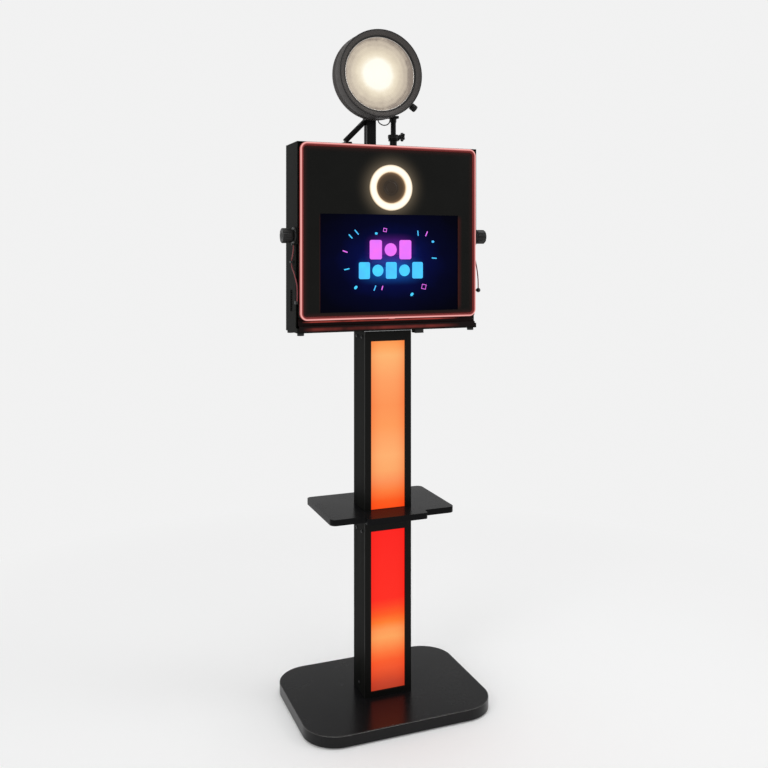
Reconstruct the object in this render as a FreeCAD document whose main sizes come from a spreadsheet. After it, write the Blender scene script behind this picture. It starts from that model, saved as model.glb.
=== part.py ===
import FreeCAD, Part
import math
import operator
import os
import types

import Sketcher

# Free-standing photo booth: base, lit column with shelf, head with screen and camera, lamp on a mast.
# Millimetres, Z up, origin on the floor under the column, front towards -Y.

doc = FreeCAD.newDocument("PhotoBooth")
sheet = doc.addObject("Spreadsheet::Sheet", "Sizes")
s = types.SimpleNamespace()
nodes = {}
Vec = FreeCAD.Vector


# ---------------------------------------------------------------- sizes that stay tied to the sheet
class Size:
    """A number together with the sheet formula it comes from."""

    def __init__(self, number, formula):
        self.number = float(number)
        self.formula = formula

    def __float__(self):
        return self.number

    def __add__(self, other):
        return combined(self, "+", other)

    def __radd__(self, other):
        return combined(other, "+", self)

    def __sub__(self, other):
        return combined(self, "-", other)

    def __rsub__(self, other):
        return combined(other, "-", self)

    def __mul__(self, other):
        return combined(self, "*", other)

    def __rmul__(self, other):
        return combined(other, "*", self)

    def __truediv__(self, other):
        return combined(self, "/", other)

    def __neg__(self):
        return combined(0, "-", self)


WORK = {"+": operator.add, "-": operator.sub, "*": operator.mul, "/": operator.truediv}


def formula(value):
    return value.formula if isinstance(value, Size) else f"({float(value)!r})"


def combined(left, sign, right):
    number = WORK[sign](float(left), float(right))
    return Size(number, f"({formula(left)} {sign} {formula(right)})")


def bind(obj, prop, value):
    obj.setExpression(prop, formula(value))


def sizes(title, **values):
    """Writes one titled group of driving sizes to the sheet and makes them readable as s.name."""
    row = sizes.row
    sheet.set(f"A{row}", title)
    for alias, value in values.items():
        row += 1
        sheet.set(f"A{row}", alias)
        sheet.set(f"B{row}", str(value))
        sheet.setAlias(f"B{row}", alias)
        setattr(s, alias, Size(value, f"Sizes.{alias}"))
    sizes.row = row + 2


sizes.row = 1

sizes(
    "Fits",
    touch_gap=0.3,
    shaft_gap=0.06,
    screw_gap=0.15,
    board_gap=0.5,
)
sizes(
    "Base",
    base_width=578,
    base_depth=442,
    base_corner=100,
    base_thick=32,
    base_edge=1.5,
    pad_height=4,
    pad_radius=20,
    pad_inset=95,
    ballast_width=320,
    ballast_depth=300,
    ballast_thick=12,
)
sizes(
    "Column",
    column_width=150,
    column_depth=100,
    column_height=1097,
    column_wall=2,
    column_front_thick=6,
    window_width=110,
    lower_window_sill=15,
    lower_window_height=481,
    upper_window_sill=561,
    upper_window_height=506,
    diffuser_thick=3,
    diffuser_lap=7,
    bracket_height=40,
    bracket_wall=3,
    bracket_front_inset=12,
    bracket_back_inset=14,
    rib_height=508,
    wire_hole_radius=14,
    carrier_width=80,
    carrier_thick=4,
    carrier_end_gap=9,
    strip_width=12,
    strip_thick=1.6,
    strip_spacing=48,
    driver_width=28,
    driver_depth=44,
    driver_height=180,
    driver_sill=84,
    screw_radius=2.5,
    screw_length=11,
    screw_head_radius=4.8,
    screw_head_height=2.6,
    top_screw_drop=18,
    top_screw_offset=22,
    rib_screw_drop=16,
    foot_screw_rise=27,
)
sizes(
    "Shelf",
    shelf_width=394,
    shelf_front=102,
    shelf_back=158,
    shelf_corner=18,
    shelf_thick=18,
    shelf_level=596.5,
    tongue_width=192,
    tongue_reach=30,
    tongue_corner=10,
    cleat_leg=12,
    cleat_foot=30,
    cleat_length=45,
    cleat_wall=3,
)
sizes(
    "Head case",
    mount_plate_thick=3,
    mount_plate_inset=1,
    case_width=578,
    case_front=66,
    case_back=70,
    case_height=556,
    case_wall=3,
    case_back_radius=14,
    lip_height=14,
    side_cut_depth=16,
    side_cut_height=244,
    vent_front=-15,
    vent_width=23,
    vent_rise=61,
    vent_height=63,
    foot_radius=10,
    foot_height=8,
    foot_inset=14,
    block_left=91,
    block_width=28,
    block_depth=30,
    block_height=13,
    block_centre=-30,
    knob_rise=283,
    knob_setback=39,
    knob_base_radius=25,
    knob_base_thick=6,
    lead_boss_width=8,
    lead_boss_drop=3,
    lead_boss_proud=3.5,
    clamp_radius=22,
    clamp_length=33.5,
    clamp_stud_radius=4,
    clamp_stud_length=28,
    flute_count=8,
    flute_radius=5,
)
sizes(
    "Service side of the case",
    door_width=400,
    door_height=280,
    door_rise=29,
    door_thick=2,
    door_lap=12,
    hinge_radius=3.2,
    hinge_pin_radius=1.5,
    hinge_offset=6,
    hinge_standoff=4.5,
    hinge_length=214,
    knuckle_length=42,
    hinge_leaf_width=17,
    hinge_leaf_thick=1.6,
    lock_inset=24,
    lock_radius=9,
    lock_proud=5,
    cam_length=30,
    cam_width=12,
    cam_thick=2.5,
    cam_setback=2.5,
    inlet_left=208,
    inlet_width=56,
    inlet_height=30,
    inlet_rise=20,
    inlet_depth=28,
    inlet_flange=3,
    rocker_width=14,
    rocker_height=22,
    rocker_thick=8,
    rocker_axle_radius=1.2,
    rocker_axle_stub=1,
    rocker_tilt=7,
    fan_size=80,
    fan_depth=25,
    fan_bore_radius=37,
    fan_x=-150,
    fan_rise=464,
    fan_hub_radius=16,
    fan_blades=7,
    fan_spoke=4,
    fan_spoke_depth=3,
    fan_shaft_radius=2,
    fan_end_gap=4,
    fan_tip_gap=1.5,
    fan_blade_thick=1.6,
    fan_blade_pitch=35,
    grille_slots=7,
    grille_slot_height=5,
    grille_pitch=10,
    pc_width=180,
    pc_height=120,
    pc_depth=35,
    pc_left=25,
    pc_rise=350,
    supply_width=150,
    supply_height=66,
    supply_depth=40,
    supply_left=-240,
    supply_rise=330,
)
sizes(
    "Tilting front",
    panel_rise=36.5,
    panel_width=566,
    panel_height=518,
    rim_width=10.5,
    rim_depth=10,
    rim_corner=22,
    rim_round=4,
    panel_front=73,
    panel_thick=6,
    flange_thick=2.5,
    flange_inset=3,
    chassis_depth=57,
    chassis_wall=3,
    chassis_width=564,
    pivot_boss_radius=11,
    screen_width=444,
    screen_height=289.5,
    screen_rise=58,
    glass_thick=3,
    glass_lap=8,
    display_depth=13,
    display_lap=12,
    ring_outer=68.5,
    ring_inner=46.5,
    ring_rise=428,
    ring_proud=2,
    ring_wall=3.5,
    ring_board_thick=1.6,
    camera_glass_thick=5,
    camera_hole_radius=30,
    lens_radius=26,
    lens_depth=16.5,
    camera_width=76,
    camera_height=56,
    camera_depth=35,
    camera_tray_thick=3,
)
sizes(
    "Mast and lamp",
    mast_width=30,
    mast_setback=38,
    mast_foot_rise=384,
    mast_length=270,
    mast_inner_width=22,
    mast_inner_length=203,
    collar_width=37,
    collar_height=10,
    groove_width=6,
    groove_depth=2.2,
    bracket_block_width=40,
    bracket_block_height=25,
    bracket_low_rise=404,
    bracket_high_rise=514,
    rod_x=80,
    rod_drop=62,
    rod_outer_radius=11.5,
    rod_inner_radius=8.5,
    rod_outer_length=178,
    rod_inner_length=233,
    saddle_width=36,
    rod_clamp_radius=16,
    rod_clamp_height=20,
    wing_boss=8,
    wing_radius=15,
    wing_length=16,
    wing_stud_radius=3,
    wing_thick=6,
    saddle_low_rise=10,
    saddle_high_rise=95,
    stay_radius=8.5,
    stay_foot_x=-84,
    stay_drop=80,
    stay_foot_width=20,
    stay_foot_lap=27,
    arm_thick=8,
    arm_depth=24,
    arm_left=18,
    arm_right=95,
    ear_thick=6,
    ear_height=24,
    lug_width=16,
    pivot_rise=13,
    knuckle_radius=9,
    tilt_pin_radius=3,
    lug_plate_width=44,
    lug_plate_thick=5,
    lug_plate_drop=10.8,
    lamp_radius=136,
    lamp_rise=100.7,
    lamp_front=6,
    lamp_depth=73,
    lamp_wall=6,
    lamp_back_wall=4,
    lamp_cap_radius=78,
    lamp_cap_depth=29,
    bezel_recess=14,
    bezel_depth=5,
    bezel_inner=113,
    lens_edge=127,
    lens_thick=6,
    bulb_radius=24,
    bulb_neck=14,
    bulb_bowl=33.6,
    bulb_length=52,
    lamp_knob_angle=35,
    lamp_knob_radius=11,
    lamp_knob_length=21,
    lamp_knob_y=60,
    lamp_stem_length=11,
    lamp_stem_radius=4,
)
sizes(
    "Leads",
    lead_diameter=3.6,
    plug_ball_radius=7,
    plug_stem_radius=3,
    clip_width=9,
    clip_thick=3.4,
    clip_drop=49,
    clip_setback=13.5,
    clip_depth=12,
    clip_jaw=5,
    lead_end_drop=162,
    plug_drop=140,
)

# ---------------------------------------------------------------- levels shared by neighbours
base_top = s.pad_height + s.base_thick
column_top = base_top + s.column_height
column_half = s.column_width / 2
column_front = s.column_depth / 2
front_back = -column_front + s.column_front_thick
column_inside = column_half - s.column_wall
back_inside = column_front - s.column_wall
shelf_under = s.shelf_level - s.shelf_thick
case_bottom = column_top + s.mount_plate_thick
case_top = case_bottom + s.case_height
case_side = s.case_width / 2
case_inside = case_side - s.case_wall
case_rear_inside = s.case_back - s.case_wall
pivot_y = -s.knob_setback
pivot_z = case_bottom + s.knob_rise
stud_hole = s.clamp_stud_radius + s.shaft_gap
panel_bottom = case_bottom + s.panel_rise
panel_back = -s.panel_front + s.panel_thick
flange_back = panel_back + s.flange_thick
ring_z = case_bottom + s.ring_rise
mast_y = s.case_back + s.mast_setback
slide_half = s.mast_inner_width / 2 + s.touch_gap
mast_foot = case_bottom + s.mast_foot_rise
mast_top = mast_foot + s.mast_length + s.collar_height
arm_under = mast_top + s.touch_gap
arm_top = arm_under + s.arm_thick
tilt_z = arm_top + s.pivot_rise
lamp_level = tilt_z + s.lamp_rise
lamp_back = s.lamp_front + s.lamp_depth


# ---------------------------------------------------------------- ways of making a piece
def place(obj, x=0, y=0, z=0):
    for axis, value in zip("xyz", (x, y, z)):
        bind(obj, f"Placement.Base.{axis}", value)
    return obj


def node(name, obj):
    obj.Label = name
    nodes[name] = obj
    return obj


def block(x0, x1, y0, y1, z0, z1):
    box = doc.addObject("Part::Box", "Block")
    bind(box, "Length", x1 - x0)
    bind(box, "Width", y1 - y0)
    bind(box, "Height", z1 - z0)
    return place(box, x0, y0, z0)


AXES = {"x": Vec(1, 0, 0), "y": Vec(0, 1, 0), "z": Vec(0, 0, 1)}


def round_bar(radius, length, x=0, y=0, z=0, along="z"):
    bar = doc.addObject("Part::Cylinder", "Bar")
    bar.Placement = FreeCAD.Placement(Vec(), FreeCAD.Rotation(AXES["z"], AXES[along]))
    bind(bar, "Radius", radius)
    bind(bar, "Height", length)
    return place(bar, x, y, z)


def cut(base, *tools):
    result = doc.addObject("Part::Cut", "Cut")
    result.Base = base
    result.Tool = tools[0] if len(tools) == 1 else fuse(*tools)
    return result


def fuse(*shapes):
    result = doc.addObject("Part::MultiFuse", "Fuse")
    result.Shapes = list(shapes)
    return result


def group(*shapes):
    result = doc.addObject("Part::Compound", "Group")
    result.Links = list(shapes)
    return result


def mirrored(obj):
    """The same piece on the other side of the middle plane."""
    result = doc.addObject("Part::Mirroring", "Mirror")
    result.Source = obj
    result.Normal = AXES["x"]
    return result


def new_body(name):
    return doc.addObject("PartDesign::Body", name)


def sketch_on(body, role):
    sketch = body.newObject("Sketcher::SketchObject", "Sketch")
    plane = next(f for f in body.Origin.OriginFeatures if f.Role == role)
    sketch.AttachmentSupport = [(plane, "")]
    sketch.MapMode = "FlatFace"
    return sketch


def hold(sketch, kind, geometry, point, value):
    """Ties one distance of a sketch point, measured from the origin, to the sheet."""
    if float(value) == 0:
        axis = -2 if kind == "DistanceX" else -1
        sketch.addConstraint(Sketcher.Constraint("PointOnObject", geometry, point, axis))
        return
    index = sketch.addConstraint(Sketcher.Constraint(kind, -1, 1, geometry, point, float(value)))
    sketch.setExpression(f"Constraints[{index}]", formula(value))


def outline(sketch, corners):
    """Closed polygon whose every corner is held to the sheet."""
    first = sketch.GeometryCount
    points = [Vec(float(a), float(b), 0) for a, b in corners]
    count = len(points)
    for i in range(count):
        sketch.addGeometry(Part.LineSegment(points[i], points[(i + 1) % count]))
    for i in range(count):
        sketch.addConstraint(
            Sketcher.Constraint("Coincident", first + i, 2, first + (i + 1) % count, 1)
        )
    for i, (a, b) in enumerate(corners):
        hold(sketch, "DistanceX", first + i, 1, a)
        hold(sketch, "DistanceY", first + i, 1, b)


def circle(sketch, radius, x=0, y=0):
    index = sketch.addGeometry(Part.Circle(Vec(float(x), float(y), 0), AXES["z"], float(radius)))
    hold(sketch, "DistanceX", index, 3, x)
    hold(sketch, "DistanceY", index, 3, y)
    size = sketch.addConstraint(Sketcher.Constraint("Radius", index, float(radius)))
    sketch.setExpression(f"Constraints[{size}]", formula(radius))


def oblong(x0, x1, y0, y1):
    return [(x0, y0), (x1, y0), (x1, y1), (x0, y1)]


def pad(body, sketch, thickness, reverse=False):
    feature = body.newObject("PartDesign::Pad", "Pad")
    feature.Profile = sketch
    feature.Reversed = reverse
    bind(feature, "Length", thickness)
    return feature


def pocket(body, sketch, depth, reverse=False):
    """A cut from the sketch plane; it has to remove material."""
    doc.recompute()
    before = body.Shape.Volume
    feature = body.newObject("PartDesign::Pocket", "Pocket")
    feature.Profile = sketch
    feature.Reversed = reverse
    bind(feature, "Length", depth)
    doc.recompute()
    if not body.Shape.Volume < before:
        raise RuntimeError(f"{body.Label}: a pocket cuts nothing")
    return feature


def turned(body, along, profile):
    """Revolves (distance along the axis, radius) corners about the x, y or z axis."""
    role = "XZ_Plane" if along == "z" else "XY_Plane"
    sketch = sketch_on(body, role)
    outline(sketch, profile if along == "x" else [(radius, at) for at, radius in profile])
    feature = body.newObject("PartDesign::Revolution", "Revolution")
    feature.Profile = sketch
    feature.ReferenceAxis = (sketch, ["H_Axis" if along == "x" else "V_Axis"])
    feature.Angle = 360
    return body


def soften(body, kind, size, pick):
    """Fillet or Chamfer on the straight or round edges that pick chooses."""
    doc.recompute()
    base = body.Tip
    names = [f"Edge{i + 1}" for i, edge in enumerate(base.Shape.Edges) if pick(edge)]
    feature = body.newObject(f"PartDesign::{kind}", kind)
    feature.Base = (base, names)
    bind(feature, "Radius" if kind == "Fillet" else "Size", size)
    body.Tip = feature
    return feature


def runs(edge, along):
    start, end = edge.valueAt(edge.FirstParameter), edge.valueAt(edge.LastParameter)
    step = end - start
    return step.Length > 1e-6 and abs(step.normalize().dot(AXES[along])) > 0.999


def slab(name, corners, thickness, corner_radius=None, along="z", pick=None):
    """A flat plate padded up (z) or back (y), with its long corners rounded."""
    body = new_body(name)
    sketch = sketch_on(body, "XY_Plane" if along == "z" else "XZ_Plane")
    outline(sketch, corners)
    pad(body, sketch, thickness, reverse=along == "y")
    if corner_radius is not None:
        soften(body, "Fillet", corner_radius, pick or (lambda edge: runs(edge, along)))
    return body


def tube_path(name, points, diameter):
    """Round lead along straight runs joined by arcs that touch both runs."""
    points = [Vec(*map(float, point)) for point in points]
    runs_out = [b - a for a, b in zip(points, points[1:])]
    edges = []
    start = points[0]
    radii = []
    for before, after, corner in zip(runs_out, runs_out[1:], points[1:-1]):
        turn = before.getAngle(after)
        reach = 0.45 * min(before.Length, after.Length)
        radius = reach / math.tan(turn / 2)
        into = corner - Vec(before).normalize() * reach
        out = corner + Vec(after).normalize() * reach
        inward = (Vec(after).normalize() - Vec(before).normalize()).normalize()
        middle = corner + inward * (radius / math.cos(turn / 2) - radius)
        edges.append(Part.LineSegment(start, into).toShape())
        edges.append(Part.Arc(into, middle, out).toShape())
        radii.append(round(radius, 1))
        start = out
    edges.append(Part.LineSegment(start, points[-1]).toShape())
    path = Part.Wire(edges)
    ring = Part.Wire([Part.Circle(points[0], runs_out[0], float(diameter) / 2).toShape()])
    lead = doc.addObject("Part::Feature", name)
    lead.Shape = path.makePipeShell([ring], True, False)
    expected = math.pi * float(diameter) ** 2 / 4 * path.Length
    print(name, "length", round(path.Length, 1), "radii", radii, "volume", lead.Shape.Volume / expected)
    return node(name, lead)


# ---------------------------------------------------------------- base
half_w = s.base_width / 2
half_d = s.base_depth / 2
base = slab(
    "base_plate", oblong(-half_w, half_w, -half_d, half_d), s.base_thick, s.base_corner
)
ballast_w = s.ballast_width / 2 + s.board_gap
ballast_d = s.ballast_depth / 2 + s.board_gap
recess = sketch_on(base, "XY_Plane")
outline(recess, oblong(-ballast_w, ballast_w, -ballast_d, ballast_d))
pocket(base, recess, s.ballast_thick, reverse=True)
soften(base, "Chamfer", s.base_edge, lambda edge: edge.BoundBox.ZMin > float(s.base_thick) - 0.01)
node("base_plate", place(base, z=s.pad_height))
node(
    "base_ballast",
    block(
        -s.ballast_width / 2, s.ballast_width / 2, -s.ballast_depth / 2, s.ballast_depth / 2,
        s.pad_height, s.pad_height + s.ballast_thick,
    ),
)
node(
    "base_pads",
    group(*[
        round_bar(s.pad_radius, s.pad_height, i * (half_w - s.pad_inset), j * (half_d - s.pad_inset))
        for i in (-1, 1)
        for j in (-1, 1)
    ]),
)

# ---------------------------------------------------------------- column
lower_sill = base_top + s.lower_window_sill
upper_sill = base_top + s.upper_window_sill
rib_top = base_top + s.rib_height
screw_spots = [
    (column_top - s.top_screw_drop, -s.top_screw_offset),
    (column_top - s.top_screw_drop, s.top_screw_offset),
    (rib_top - s.rib_screw_drop, -s.top_screw_offset),
    (rib_top - s.rib_screw_drop, s.top_screw_offset),
    (base_top + s.foot_screw_rise, Size(0, "0")),
]


def screw_holes():
    radius = s.screw_radius + s.screw_gap
    return [
        round_bar(radius, s.column_width, -column_half, y, z, along="x") for z, y in screw_spots
    ]


node(
    "column_shell",
    cut(
        block(-column_half, column_half, front_back, column_front, base_top, column_top),
        block(-column_inside, column_inside, front_back, back_inside, base_top, column_top),
        *screw_holes(),
    ),
)
window = s.window_width / 2
frame = new_body("column_front")
frame_sketch = sketch_on(frame, "XZ_Plane")
outline(frame_sketch, oblong(-column_half, column_half, Size(0, "0"), s.column_height))
for sill, height in (
    (s.lower_window_sill, s.lower_window_height),
    (s.upper_window_sill, s.upper_window_height),
):
    outline(frame_sketch, oblong(-window, window, sill, sill + height))
pad(frame, frame_sketch, s.column_front_thick, reverse=True)
node("column_front", place(frame, y=-column_front, z=base_top))

diffuser_half = window + s.diffuser_lap
for name, sill, height in (
    ("lower_diffuser", lower_sill, s.lower_window_height),
    ("upper_diffuser", upper_sill, s.upper_window_height),
):
    node(
        name,
        block(
            -diffuser_half, diffuser_half, front_back, front_back + s.diffuser_thick,
            sill - s.diffuser_lap, sill + height + s.diffuser_lap,
        ),
    )


def column_bracket(z0, web_on_top):
    """U-shaped sheet bracket: a web across the column and a tab down each side wall."""
    y0 = -column_front + s.bracket_front_inset
    y1 = column_front - s.bracket_back_inset
    inner = column_inside - s.bracket_wall
    low = z0 if web_on_top else z0 + s.bracket_wall
    return cut(
        block(-column_inside, column_inside, y0, y1, z0, z0 + s.bracket_height),
        block(-inner, inner, y0, y1, low, low + s.bracket_height - s.bracket_wall),
        round_bar(s.wire_hole_radius, s.bracket_height, z=z0),
        *screw_holes(),
    )


node(
    "column_brackets",
    group(
        column_bracket(base_top, False),
        column_bracket(rib_top - s.bracket_height, True),
        column_bracket(column_top - s.bracket_height, True),
    ),
)


def side_screw(z, y):
    """Button-head screw through the column's right wall into a bracket tab."""
    shank = round_bar(s.screw_radius, s.screw_length, column_half - s.screw_length, y, z, "x")
    head = round_bar(s.screw_head_radius, s.screw_head_height, column_half, y, z, "x")
    return fuse(shank, head)


right_screws = group(*[side_screw(z, y) for z, y in screw_spots])
node("column_screws", group(right_screws, mirrored(right_screws)))

carrier_front = back_inside - s.carrier_thick
carrier_half = s.carrier_width / 2
node(
    "led_carrier",
    block(
        -carrier_half, carrier_half, carrier_front, back_inside,
        base_top + s.carrier_end_gap, column_top - s.carrier_end_gap,
    ),
)
node(
    "led_strips",
    group(*[
        block(
            side * s.strip_spacing / 2 - s.strip_width / 2,
            side * s.strip_spacing / 2 + s.strip_width / 2,
            carrier_front - s.strip_thick, carrier_front, sill, sill + height,
        )
        for side in (-1, 1)
        for sill, height in (
            (lower_sill, s.lower_window_height),
            (upper_sill, s.upper_window_height),
        )
    ]),
)
driver_back = column_front - s.bracket_back_inset
node(
    "led_driver",
    block(
        column_inside - s.driver_width, column_inside, driver_back - s.driver_depth, driver_back,
        base_top + s.driver_sill, base_top + s.driver_sill + s.driver_height,
    ),
)

# ---------------------------------------------------------------- shelf
shelf_half = s.shelf_width / 2
tongue_half = s.tongue_width / 2
tongue_front = -s.shelf_front - s.tongue_reach
shelf = slab(
    "shelf_board",
    [
        (-shelf_half, s.shelf_back),
        (-shelf_half, -s.shelf_front),
        (-tongue_half, -s.shelf_front),
        (-tongue_half, tongue_front),
        (tongue_half, tongue_front),
        (tongue_half, -s.shelf_front),
        (shelf_half, -s.shelf_front),
        (shelf_half, s.shelf_back),
    ],
    s.shelf_thick,
    s.shelf_corner,
    pick=lambda edge: runs(edge, "z") and abs(edge.CenterOfMass.x) > float(tongue_half) + 1,
)
soften(
    shelf, "Fillet", s.tongue_corner,
    lambda edge: runs(edge, "z") and abs(edge.CenterOfMass.x) < float(tongue_half) + 1,
)
hole_x = column_half + s.board_gap
hole_y = column_front + s.board_gap
slot = sketch_on(shelf, "XY_Plane")
outline(slot, oblong(-hole_x, hole_x, -hole_y, hole_y))
pocket(shelf, slot, s.shelf_thick, reverse=True)
node("shelf_board", place(shelf, z=shelf_under))

cleat_y = -s.board_gap
right_cleat = fuse(
    block(
        column_half, column_half + s.cleat_wall, cleat_y, cleat_y + s.cleat_length,
        shelf_under - s.cleat_leg, shelf_under,
    ),
    block(
        column_half, column_half + s.cleat_foot, cleat_y, cleat_y + s.cleat_length,
        shelf_under - s.cleat_wall, shelf_under,
    ),
)
node("shelf_cleats", group(right_cleat, mirrored(right_cleat)))

# ---------------------------------------------------------------- head case
plate_x = column_half - s.mount_plate_inset
plate_y = column_front - s.mount_plate_inset
node(
    "mount_plate",
    cut(
        block(-plate_x, plate_x, -plate_y, plate_y, column_top, case_bottom),
        round_bar(s.wire_hole_radius, s.mount_plate_thick, z=column_top),
    ),
)

case = slab(
    "head_case",
    oblong(-case_side, case_side, -s.case_front, s.case_back),
    s.case_height,
)
soften(
    case, "Fillet", s.case_back_radius,
    lambda edge: runs(edge, "z") and edge.CenterOfMass.y > 0,
)
hollow = sketch_on(case, "XY_Plane")
outline(hollow, oblong(-case_inside, case_inside, -s.case_front, case_rear_inside))
hollow.AttachmentOffset = FreeCAD.Placement(Vec(0, 0, 1), FreeCAD.Rotation())
bind(hollow, "AttachmentOffset.Base.z", s.case_wall)
pocket(case, hollow, s.case_height - 2 * s.case_wall, reverse=True)
place(case, z=case_bottom)

door_bottom = case_bottom + s.door_rise
door_half = s.door_width / 2
door_hole_half = door_half - s.door_lap
inlet_bottom = case_bottom + s.inlet_rise
inlet_right = s.inlet_left + s.inlet_width
fan_z = case_bottom + s.fan_rise
vent_bottom = case_bottom + s.vent_rise
grille = [
    block(
        s.fan_x - s.fan_bore_radius + abs(i) * s.grille_slot_height,
        s.fan_x + s.fan_bore_radius - abs(i) * s.grille_slot_height,
        case_rear_inside, s.case_back,
        fan_z + i * s.grille_pitch - s.grille_slot_height / 2,
        fan_z + i * s.grille_pitch + s.grille_slot_height / 2,
    )
    for i in range(-(round(float(s.grille_slots)) // 2), round(float(s.grille_slots)) // 2 + 1)
]
case_lip = block(
    -case_inside, case_inside, -s.case_front, -s.case_front + s.case_wall,
    case_bottom + s.case_wall, case_bottom + s.lip_height,
)
node(
    "head_case",
    cut(
        fuse(case, case_lip),
        block(
            -case_side, case_side, -s.case_front, -s.case_front + s.side_cut_depth,
            case_bottom + s.lip_height, case_bottom + s.lip_height + s.side_cut_height,
        ),
        block(
            -door_hole_half, door_hole_half, case_rear_inside, s.case_back,
            door_bottom + s.door_lap, door_bottom + s.door_height - s.door_lap,
        ),
        block(
            s.inlet_left, inlet_right, case_rear_inside, s.case_back,
            inlet_bottom, inlet_bottom + s.inlet_height,
        ),
        block(
            -case_side, case_side, s.vent_front, s.vent_front + s.vent_width,
            vent_bottom, vent_bottom + s.vent_height,
        ),
        round_bar(s.wire_hole_radius, s.case_wall, z=case_bottom),
        round_bar(stud_hole, s.case_width, -case_side, pivot_y, pivot_z, "x"),
        *grille,
    ),
)
node(
    "head_feet",
    group(*[
        round_bar(
            s.foot_radius, s.foot_height, i * (case_side - s.foot_inset), y, case_bottom - s.foot_height
        )
        for i in (-1, 1)
        for y in (-s.case_front + s.foot_inset, s.case_back - s.foot_inset)
    ]),
)
node(
    "gland_block",
    block(
        s.block_left, s.block_left + s.block_width,
        s.block_centre - s.block_depth / 2, s.block_centre + s.block_depth / 2,
        case_bottom - s.block_height, case_bottom,
    ),
)

# ---------------------------------------------------------------- side knobs
base_out = case_side + s.knob_base_thick
boss_low = pivot_z - s.knob_base_radius - s.lead_boss_drop
right_knob_base = cut(
    fuse(
        round_bar(s.knob_base_radius, s.knob_base_thick, case_side, pivot_y, pivot_z, "x"),
        block(
            case_side, base_out + s.lead_boss_proud,
            pivot_y - s.lead_boss_width / 2, pivot_y + s.lead_boss_width / 2,
            boss_low, pivot_z - s.knob_base_radius + s.lead_boss_drop,
        ),
    ),
    round_bar(stud_hole, s.knob_base_thick, case_side, pivot_y, pivot_z, "x"),
)
node("knob_bases", group(right_knob_base, mirrored(right_knob_base)))

knob_in = base_out + s.touch_gap
knob_out = knob_in + s.clamp_length
knob_body = new_body("knob_body")
turned(
    knob_body,
    "x",
    [
        (case_side + s.knob_base_thick - s.clamp_stud_length, Size(0, "0")),
        (case_side + s.knob_base_thick - s.clamp_stud_length, s.clamp_stud_radius),
        (knob_in, s.clamp_stud_radius),
        (knob_in, s.clamp_radius - s.flute_radius),
        (knob_in + s.clamp_length / 4, s.clamp_radius),
        (knob_out, s.clamp_radius),
        (knob_out, Size(0, "0")),
    ],
)
soften(
    knob_body, "Fillet", s.flute_radius / 2,
    lambda edge: edge.BoundBox.XMin > float(knob_out) - 0.01 and not runs(edge, "y"),
)
place(knob_body, y=pivot_y, z=pivot_z)


def flutes():
    reach = s.clamp_radius + s.flute_radius / 2
    bars = []
    for i in range(round(float(s.flute_count))):
        angle = 2 * math.pi * (i + 0.5) / float(s.flute_count)
        bars.append(
            round_bar(
                s.flute_radius, s.clamp_length + s.touch_gap, base_out,
                pivot_y + reach * math.cos(angle), pivot_z + reach * math.sin(angle), "x",
            )
        )
    return bars


right_knob = cut(knob_body, *flutes())
node("right_knob", right_knob)
node("left_knob", mirrored(right_knob))

# ---------------------------------------------------------------- leads on the case sides
lead_r = s.lead_diameter / 2
lead_x = case_side + lead_r + s.touch_gap + 1.8
slot_x = case_side - 2
tube_path(
    "left_lead",
    [
        (-lead_x, pivot_y, boss_low),
        (-lead_x, pivot_y, boss_low - 13),
        (-lead_x, pivot_y + 8, boss_low - 28),
        (-lead_x, pivot_y + 19, boss_low - 42),
        (-lead_x, pivot_y + 20, boss_low - 57),
        (-lead_x, pivot_y + 10, boss_low - 69),
        (-lead_x, pivot_y - 5, boss_low - 79),
        (-lead_x + 0.6, pivot_y - 18, boss_low - 94),
        (-slot_x - 1.6, pivot_y - 22, boss_low - 113),
        (-slot_x, pivot_y - 21, boss_low - 134),
        (-slot_x, pivot_y - 19.5, boss_low - 150),
        (-slot_x, pivot_y - 19.5, boss_low - 162),
    ],
    s.lead_diameter,
)
plug_x = case_side + s.plug_ball_radius * 3
plug_z = boss_low - s.plug_drop
ball_reach = s.plug_ball_radius
tube_path(
    "right_lead",
    [
        (lead_x, pivot_y, boss_low),
        (lead_x, pivot_y, boss_low - 18),
        (lead_x + 5.4, pivot_y + 0.6, boss_low - 40),
        (plug_x - 5, pivot_y + 0.4, boss_low - 68),
        (plug_x - 1, pivot_y + 0.1, boss_low - 97),
        (plug_x, pivot_y, boss_low - 118),
        (plug_x, pivot_y, plug_z + ball_reach + 0.05),
    ],
    s.lead_diameter,
)
ball = doc.addObject("Part::Sphere", "Ball")
bind(ball, "Radius", s.plug_ball_radius)
place(ball, plug_x, pivot_y, plug_z)
node(
    "lead_plug",
    fuse(
        ball,
        round_bar(s.plug_stem_radius, plug_x - case_side, case_side, pivot_y, plug_z, "x"),
        round_bar(s.plug_stem_radius * 2, s.plug_stem_radius, case_side, pivot_y, plug_z, "x"),
    ),
)
clip_z = boss_low - s.clip_drop
clip_low = clip_z - s.clip_thick
clip_front = pivot_y + s.clip_setback
clip_bore = lead_r + s.touch_gap * 2
end_z = boss_low - s.lead_end_drop
edge_y = -s.case_front + s.side_cut_depth
node(
    "lead_clips",
    group(
        cut(
            block(
                -case_side - s.clip_width, -case_side,
                clip_front, clip_front + s.clip_depth, clip_low, clip_z + s.clip_thick,
            ),
            round_bar(clip_bore, 2 * s.clip_thick, -lead_x, clip_front + s.clip_depth / 2, clip_low),
        ),
        cut(
            block(
                -case_side - s.case_wall, -case_inside + s.case_wall / 2,
                edge_y - s.clip_width, edge_y + s.clip_jaw - 1, end_z - s.clip_width, end_z,
            ),
            block(
                -case_side - s.touch_gap, -case_inside + s.touch_gap,
                edge_y, edge_y + s.clip_jaw, end_z - s.clip_width, end_z,
            ),
        ),
    ),
)

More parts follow.
